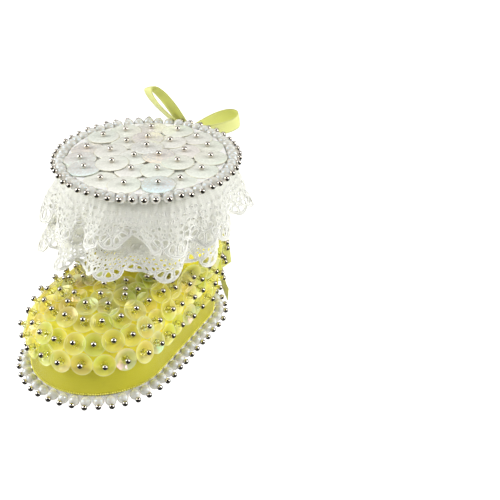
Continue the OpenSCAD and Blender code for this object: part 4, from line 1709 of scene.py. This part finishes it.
@dataclass(frozen=True)
class NetFinish:
    """Machine-made nylon net: hexagonal holes, fine at the heading and open at the hem."""

    name: str
    thread: Colour = (0.90, 0.90, 0.835, 1.0)
    cool: Colour = (0.82, 0.83, 0.77, 1.0)
    fine: float = 1.45
    coarse: float = 0.8
    coarse_from: float = 8.0
    hole_fine: float = 0.10
    hole_coarse: float = 0.30
    veil: float = 0.72

    def material(self) -> bpy.types.Material:
        """Build the net."""
        material, tree = new_finish(self.name)
        nodes, link = tree.nodes, tree.links.new
        cloth = nodes.new("ShaderNodeUVMap")
        cloth.label = "place on the lace"
        cloth.uv_map = "cloth"
        split = nodes.new("ShaderNodeSeparateXYZ")
        split.label = "along and down"
        down = nodes.new("ShaderNodeMapRange")
        down.label = "heading to hem"
        down.inputs["From Min"].default_value = self.coarse_from - 1.5
        down.inputs["From Max"].default_value = self.coarse_from + 1.5
        small = nodes.new("ShaderNodeTexVoronoi")
        small.label = "fine net"
        small.feature = "DISTANCE_TO_EDGE"
        small.inputs["Scale"].default_value = self.fine
        small.inputs["Randomness"].default_value = 0.35
        large = nodes.new("ShaderNodeTexVoronoi")
        large.label = "open net"
        large.feature = "DISTANCE_TO_EDGE"
        large.inputs["Scale"].default_value = self.coarse
        large.inputs["Randomness"].default_value = 0.7
        small_hole = nodes.new("ShaderNodeMapRange")
        small_hole.label = "fine threads"
        small_hole.inputs["From Min"].default_value = self.hole_fine
        small_hole.inputs["From Max"].default_value = self.hole_fine + 0.10
        small_hole.inputs["To Min"].default_value = 1.0
        small_hole.inputs["To Max"].default_value = self.veil + 0.2
        large_hole = nodes.new("ShaderNodeMapRange")
        large_hole.label = "open threads"
        large_hole.inputs["From Min"].default_value = self.hole_coarse * 0.6
        large_hole.inputs["From Max"].default_value = self.hole_coarse
        large_hole.inputs["To Min"].default_value = 1.0
        large_hole.inputs["To Max"].default_value = self.veil * 0.8
        choose = nodes.new("ShaderNodeMix")
        choose.label = "net by depth"
        weave = nodes.new("ShaderNodeTexNoise")
        weave.label = "uneven yarn"
        weave.inputs["Scale"].default_value = 2.2
        weave.inputs["Detail"].default_value = 3.0
        colour = nodes.new("ShaderNodeMix")
        colour.label = "warm to cool yarn"
        colour.data_type = "RGBA"
        colour.inputs[6].default_value = self.thread
        colour.inputs[7].default_value = self.cool
        bump = nodes.new("ShaderNodeBump")
        bump.label = "raised threads"
        bump.inputs["Strength"].default_value = 0.6
        bump.inputs["Distance"].default_value = 0.15 * MM
        through = nodes.new("ShaderNodeBsdfTranslucent")
        through.label = "light through the yarn"
        lit = nodes.new("ShaderNodeMixShader")
        lit.label = "front and back light"
        lit.inputs["Fac"].default_value = 0.35
        gap = nodes.new("ShaderNodeBsdfTransparent")
        gap.label = "open holes"
        mesh = nodes.new("ShaderNodeMixShader")
        mesh.label = "threads and holes"
        shader = nodes.new("ShaderNodeBsdfPrincipled")
        shader.label = "nylon yarn"
        shader.inputs["Roughness"].default_value = 0.62
        shader.inputs["Sheen Weight"].default_value = 0.25
        shader.inputs["Sheen Roughness"].default_value = 0.4
        shader.inputs["Specular IOR Level"].default_value = 0.35
        out = nodes.new("ShaderNodeOutputMaterial")
        out.label = "net"
        link(cloth.outputs["UV"], split.inputs["Vector"])
        link(split.outputs["Y"], down.inputs["Value"])
        link(cloth.outputs["UV"], small.inputs["Vector"])
        link(cloth.outputs["UV"], large.inputs["Vector"])
        link(small.outputs["Distance"], small_hole.inputs["Value"])
        link(large.outputs["Distance"], large_hole.inputs["Value"])
        link(down.outputs["Result"], choose.inputs[0])
        link(small_hole.outputs["Result"], choose.inputs[2])
        link(large_hole.outputs["Result"], choose.inputs[3])
        link(choose.outputs[0], mesh.inputs["Fac"])
        link(choose.outputs[0], bump.inputs["Height"])
        link(bump.outputs["Normal"], shader.inputs["Normal"])
        link(cloth.outputs["UV"], weave.inputs["Vector"])
        link(weave.outputs["Fac"], colour.inputs[0])
        link(colour.outputs[2], shader.inputs["Base Color"])
        link(colour.outputs[2], through.inputs["Color"])
        link(shader.outputs["BSDF"], lit.inputs[1])
        link(through.outputs["BSDF"], lit.inputs[2])
        link(gap.outputs["BSDF"], mesh.inputs[1])
        link(lit.outputs["Shader"], mesh.inputs[2])
        link(mesh.outputs["Shader"], out.inputs["Surface"])
        lay_out(tree, {"holes": (cloth, split, down, small, large, small_hole, large_hole,
                                 choose, bump),
                       "yarn": (weave, colour, through), "surface": (shader, lit, gap, mesh, out)})
        return material


@dataclass(frozen=True)
class CordFinish:
    """Twisted cord, for the lace's outlines and the ribbon's knotted edge."""

    name: str
    light: Colour
    shade: Colour
    twist: float = 1500.0

    def material(self) -> bpy.types.Material:
        """Build the cord."""
        material, tree = new_finish(self.name)
        nodes, link = tree.nodes, tree.links.new
        coords = nodes.new("ShaderNodeTexCoord")
        coords.label = "cord position"
        plies = nodes.new("ShaderNodeTexNoise")
        plies.label = "twisted plies"
        plies.inputs["Scale"].default_value = self.twist
        plies.inputs["Detail"].default_value = 2.0
        colour = nodes.new("ShaderNodeMix")
        colour.label = "shade between plies"
        colour.data_type = "RGBA"
        colour.inputs[6].default_value = self.shade
        colour.inputs[7].default_value = self.light
        bump = nodes.new("ShaderNodeBump")
        bump.label = "ply relief"
        bump.inputs["Strength"].default_value = 0.35
        bump.inputs["Distance"].default_value = 0.08 * MM
        shader = nodes.new("ShaderNodeBsdfPrincipled")
        shader.label = "yarn"
        shader.inputs["Roughness"].default_value = 0.6
        shader.inputs["Sheen Weight"].default_value = 0.25
        shader.inputs["Subsurface Weight"].default_value = 0.15
        shader.inputs["Subsurface Radius"].default_value = (0.0005, 0.0005, 0.0004)
        out = nodes.new("ShaderNodeOutputMaterial")
        out.label = "cord"
        link(coords.outputs["Object"], plies.inputs["Vector"])
        link(plies.outputs["Fac"], colour.inputs[0])
        link(colour.outputs[2], shader.inputs["Base Color"])
        link(plies.outputs["Fac"], bump.inputs["Height"])
        link(bump.outputs["Normal"], shader.inputs["Normal"])
        link(shader.outputs["BSDF"], out.inputs["Surface"])
        lay_out(tree, {"plies": (coords, plies, colour, bump), "surface": (shader, out)})
        return material


CUP_FILM = FilmFinish(
    name="yellow_cup_film",
    tints=((0.0, (0.95, 0.90, 0.20, 1)), (0.35, (0.97, 0.93, 0.30, 1)),
           (0.78, (0.97, 0.95, 0.44, 1)), (0.92, (0.97, 0.97, 0.72, 1))),
    # the pale rim colour is a painted highlight round each cup's edge
    rim=(0.98, 0.97, 0.56, 1.0), rim_from=4.0, radius=4.5, clear_middle=0.36, clear_rim=0.85,
    roughness=0.12, film_from=0.66, film_nm=520.0, glow_scale=110.0, glow_amount=0.45,
    glow_through=0.34, relief=0.14, through=(0.985, 0.965, 0.60, 1.0))
DISC_FILM = FilmFinish(
    name="white_disc_film",
    tints=((0.0, (0.94, 0.96, 0.84, 1)), (0.3, (0.96, 0.95, 0.87, 1)),
           (0.7, (0.97, 0.95, 0.89, 1)), (0.95, (0.97, 0.93, 0.89, 1))),
    # the cream rim colour is painted shade where the discs lap over each other
    rim=(0.95, 0.92, 0.74, 1.0), rim_from=6.05, radius=6.5, clear_middle=1.0, clear_rim=1.0,
    roughness=0.24, film_from=0.45, film_nm=420.0, glow_scale=55.0, glow_amount=0.16,
    glow_through=0.08, relief=0.10, through=(1.0, 1.0, 1.0, 1.0))


# --------------------------------------------------------------------------- the set


@dataclass
class Studio:
    """Camera, floor and soft lights."""

    azimuth: float = 36.5
    elevation: float = 30.9
    distance: float = 450.0
    aside: float = -47.8
    above: float = -1.9
    focal_px: float = 1120.6
    frame_px: float = 500.0
    sensor_mm: float = 36.0
    aim_z: float = 40.0
    floor_size: float = 3.0
    floor_glow: float = 0.9
    surround: float = 0.03

    def back(self) -> Vector:
        """Unit direction from the bootie to the camera."""
        a, e = math.radians(self.azimuth), math.radians(self.elevation)
        return Vector((math.sin(a) * math.cos(e), -math.cos(a) * math.cos(e), math.sin(e)))

    def build_camera(self) -> None:
        """Make the camera and set it as the scene's."""
        back = self.back()
        right = (-back).cross(Vector((0, 0, 1))).normalized()
        up = right.cross(-back)
        where = (Vector((0, 0, self.aim_z)) + back * self.distance - right * self.aside
                 - up * self.above)
        lens = bpy.data.cameras.new("camera")
        lens.sensor_width = self.sensor_mm
        lens.lens = self.focal_px / self.frame_px * self.sensor_mm
        lens.clip_start, lens.clip_end = 0.01, 50.0
        camera = bpy.data.objects.new("camera", lens)
        facing = Matrix((right, up, back)).transposed().to_4x4()
        camera.matrix_world = Matrix.Translation(where * MM) @ facing
        bpy.context.scene.collection.objects.link(camera)
        bpy.context.scene.camera = camera

    def build_floor(self) -> None:
        """Make the plain pale floor, which stays dim in the mirror-bright pins."""
        bm = bmesh.new()
        bmesh.ops.create_grid(bm, x_segments=8, y_segments=8, size=self.floor_size)
        mesh = bpy.data.meshes.new("floor")
        bm.to_mesh(mesh)
        bm.free()
        floor = bpy.data.objects.new("floor", mesh)
        bpy.context.scene.collection.objects.link(floor)
        material, tree = new_finish("pale_floor")
        shader = tree.nodes.new("ShaderNodeBsdfPrincipled")
        shader.label = "matte white"
        shader.inputs["Roughness"].default_value = 0.9
        shader.inputs["Specular IOR Level"].default_value = 0.1
        shader.inputs["Emission Color"].default_value = (1, 1, 1, 1)
        colour = tree.nodes.new("ShaderNodeMix")
        colour.label = "matte white, dim in reflections"
        colour.data_type = "RGBA"
        colour.inputs[6].default_value = (0.5, 0.5, 0.5, 1)
        colour.inputs[7].default_value = (0.05, 0.05, 0.05, 1)
        path = tree.nodes.new("ShaderNodeLightPath")
        path.label = "seen in a reflection or not"
        glow = tree.nodes.new("ShaderNodeMapRange")
        glow.label = "pale floor, darker in reflections"
        glow.inputs["To Min"].default_value = self.floor_glow
        glow.inputs["To Max"].default_value = 0.0
        out = tree.nodes.new("ShaderNodeOutputMaterial")
        out.label = "floor"
        tree.links.new(path.outputs["Is Glossy Ray"], glow.inputs["Value"])
        tree.links.new(glow.outputs["Result"], shader.inputs["Emission Strength"])
        tree.links.new(path.outputs["Is Glossy Ray"], colour.inputs[0])
        tree.links.new(colour.outputs[2], shader.inputs["Base Color"])
        tree.links.new(shader.outputs["BSDF"], out.inputs["Surface"])
        lay_out(tree, {"glow": (path, glow, colour), "floor": (shader, out)})
        mesh.materials.append(material)

    def add_softbox(self, name: str, azimuth: float, elevation: float,
                    size: tuple[float, float], power: float, reach: float = 0.9) -> None:
        """Add one soft rectangular light that faces the bootie.

        Args:
            name: the light's name.
            azimuth: compass direction it stands in, in degrees, as the camera's.
            elevation: its height angle, in degrees.
            size: width and height, in metres.
            power: watts.
            reach: distance from the bootie, in metres.
        """
        light = bpy.data.lights.new(name, "AREA")
        light.shape = "RECTANGLE"
        light.size, light.size_y = size
        light.energy = power
        a, e = math.radians(azimuth), math.radians(elevation)
        way = Vector((math.sin(a) * math.cos(e), -math.cos(a) * math.cos(e), math.sin(e)))
        lamp = bpy.data.objects.new(name, light)
        lamp.location = Vector((0, 0, self.aim_z * MM)) + way * reach
        lamp.rotation_euler = way.to_track_quat("Z", "Y").to_euler()
        bpy.context.scene.collection.objects.link(lamp)

    def build_lights(self) -> None:
        """Make the lights and the plain surround."""
        self.add_softbox("left_softbox", self.azimuth - 90, 24, (0.6, 0.8), 7.0)
        self.add_softbox("right_softbox", self.azimuth + 86, 18, (0.6, 0.8), 6.6)
        self.add_softbox("top_softbox", self.azimuth + 178, 60, (1.0, 0.6), 3.4)
        self.add_softbox("left_key", self.azimuth - 60, 40, (0.16, 0.16), 1.75)
        self.add_softbox("right_key", self.azimuth + 52, 42, (0.16, 0.16), 1.3)
        world = bpy.data.worlds.new("surround")
        world.use_nodes = True
        shade = world.node_tree.nodes["Background"]
        shade.inputs["Color"].default_value = (1.0, 0.98, 0.95, 1.0)
        shade.inputs["Strength"].default_value = self.surround
        bpy.context.scene.world = world
        bpy.context.scene.view_settings.view_transform = "Standard"


ROWS = (
    RowPlan("row1", 18.3, 18.0, 30, 1.0, 0.36), RowPlan("row2", 24.3, 26.0, 32, 1.0, -0.17),
    RowPlan("row3", 29.2, 33.2, 30, 1.0, -0.32), RowPlan("row4", 31.9, 40.0, 26, 1.0, 0.25),
    RowPlan("row5", 33.4, 39.5, 9, 0.42, 0.1), RowPlan("row6", 34.6, 39.5, 6, 0.30, 0.4),
    RowPlan("row7", 35.4, 40.0, 3, 0.16, 0.0))


def main() -> None:
    """Build the whole bootie and its set."""
    logging.basicConfig(level=logging.INFO, format="%(name)s: %(message)s")
    studio = Studio()
    studio.build_camera()
    studio.build_floor()
    studio.build_lights()
    form = BootieForm()
    steel = SteelFinish().material()
    pearl = PearlFinish().material()
    cup_film = CUP_FILM.material()
    glass = GlassFinish().material()
    disc_film = DISC_FILM.material()
    sole_satin = SatinFinish(
        "sole_satin", light=(0.80, 0.75, 0.05, 1), shade=(0.68, 0.62, 0.03, 1), width=12.0,
        sheen=1.0, sheen_tint=(1.0, 0.96, 0.55, 1), lustre=0.3).material()
    bow_satin = SatinFinish(
        "bow_satin", light=(0.92, 0.94, 0.38, 1), shade=(0.86, 0.88, 0.28, 1), width=7.0,
        sheen=0.35, sheen_tint=(1.0, 1.0, 1.0, 1), lustre=0.05).material()
    sole_cord = CordFinish("sole_selvedge", light=(0.97, 0.93, 0.22, 1),
                           shade=(0.90, 0.84, 0.10, 1)).material()
    net = NetFinish("lace_net").material()
    tape_net = NetFinish("lace_tape_net", coarse_from=40.0).material()
    lace_cord = CordFinish("lace_outline_cord", light=(0.92, 0.92, 0.87, 1),
                           shade=(0.83, 0.83, 0.76, 1)).material()
    form.build(FoamFinish().material())
    SoleBand(form).build(sole_satin, sole_cord)
    sole_ring(form).build(pearl, steel)
    for plan in ROWS:
        PinnedRow(form, plan).build(cup_film, glass, steel)
    Frill("lower_frill", form, "lace_lower", top_z=62.0, hem_z=45.6, hem_r=36.4, folds=11,
          depth=2.7, shift=5.0, turn=1.3, rise=0.8, droop=1.5).build(net, lace_cord)
    Frill("upper_frill", form, "lace_upper", top_z=75.8, hem_z=58.4, hem_r=38.4, folds=11,
          depth=3.2, shift=0.9, turn=2.49, rise=2.0, droop=1.9).build(net, lace_cord)
    Heading(form).build(tape_net, lace_cord)
    crown_ring(form).build(pearl, steel)
    SequinCrown(form).build(disc_film, steel)
    Bow(form).build(bow_satin, steel)


if __name__ == "__main__":
    main()
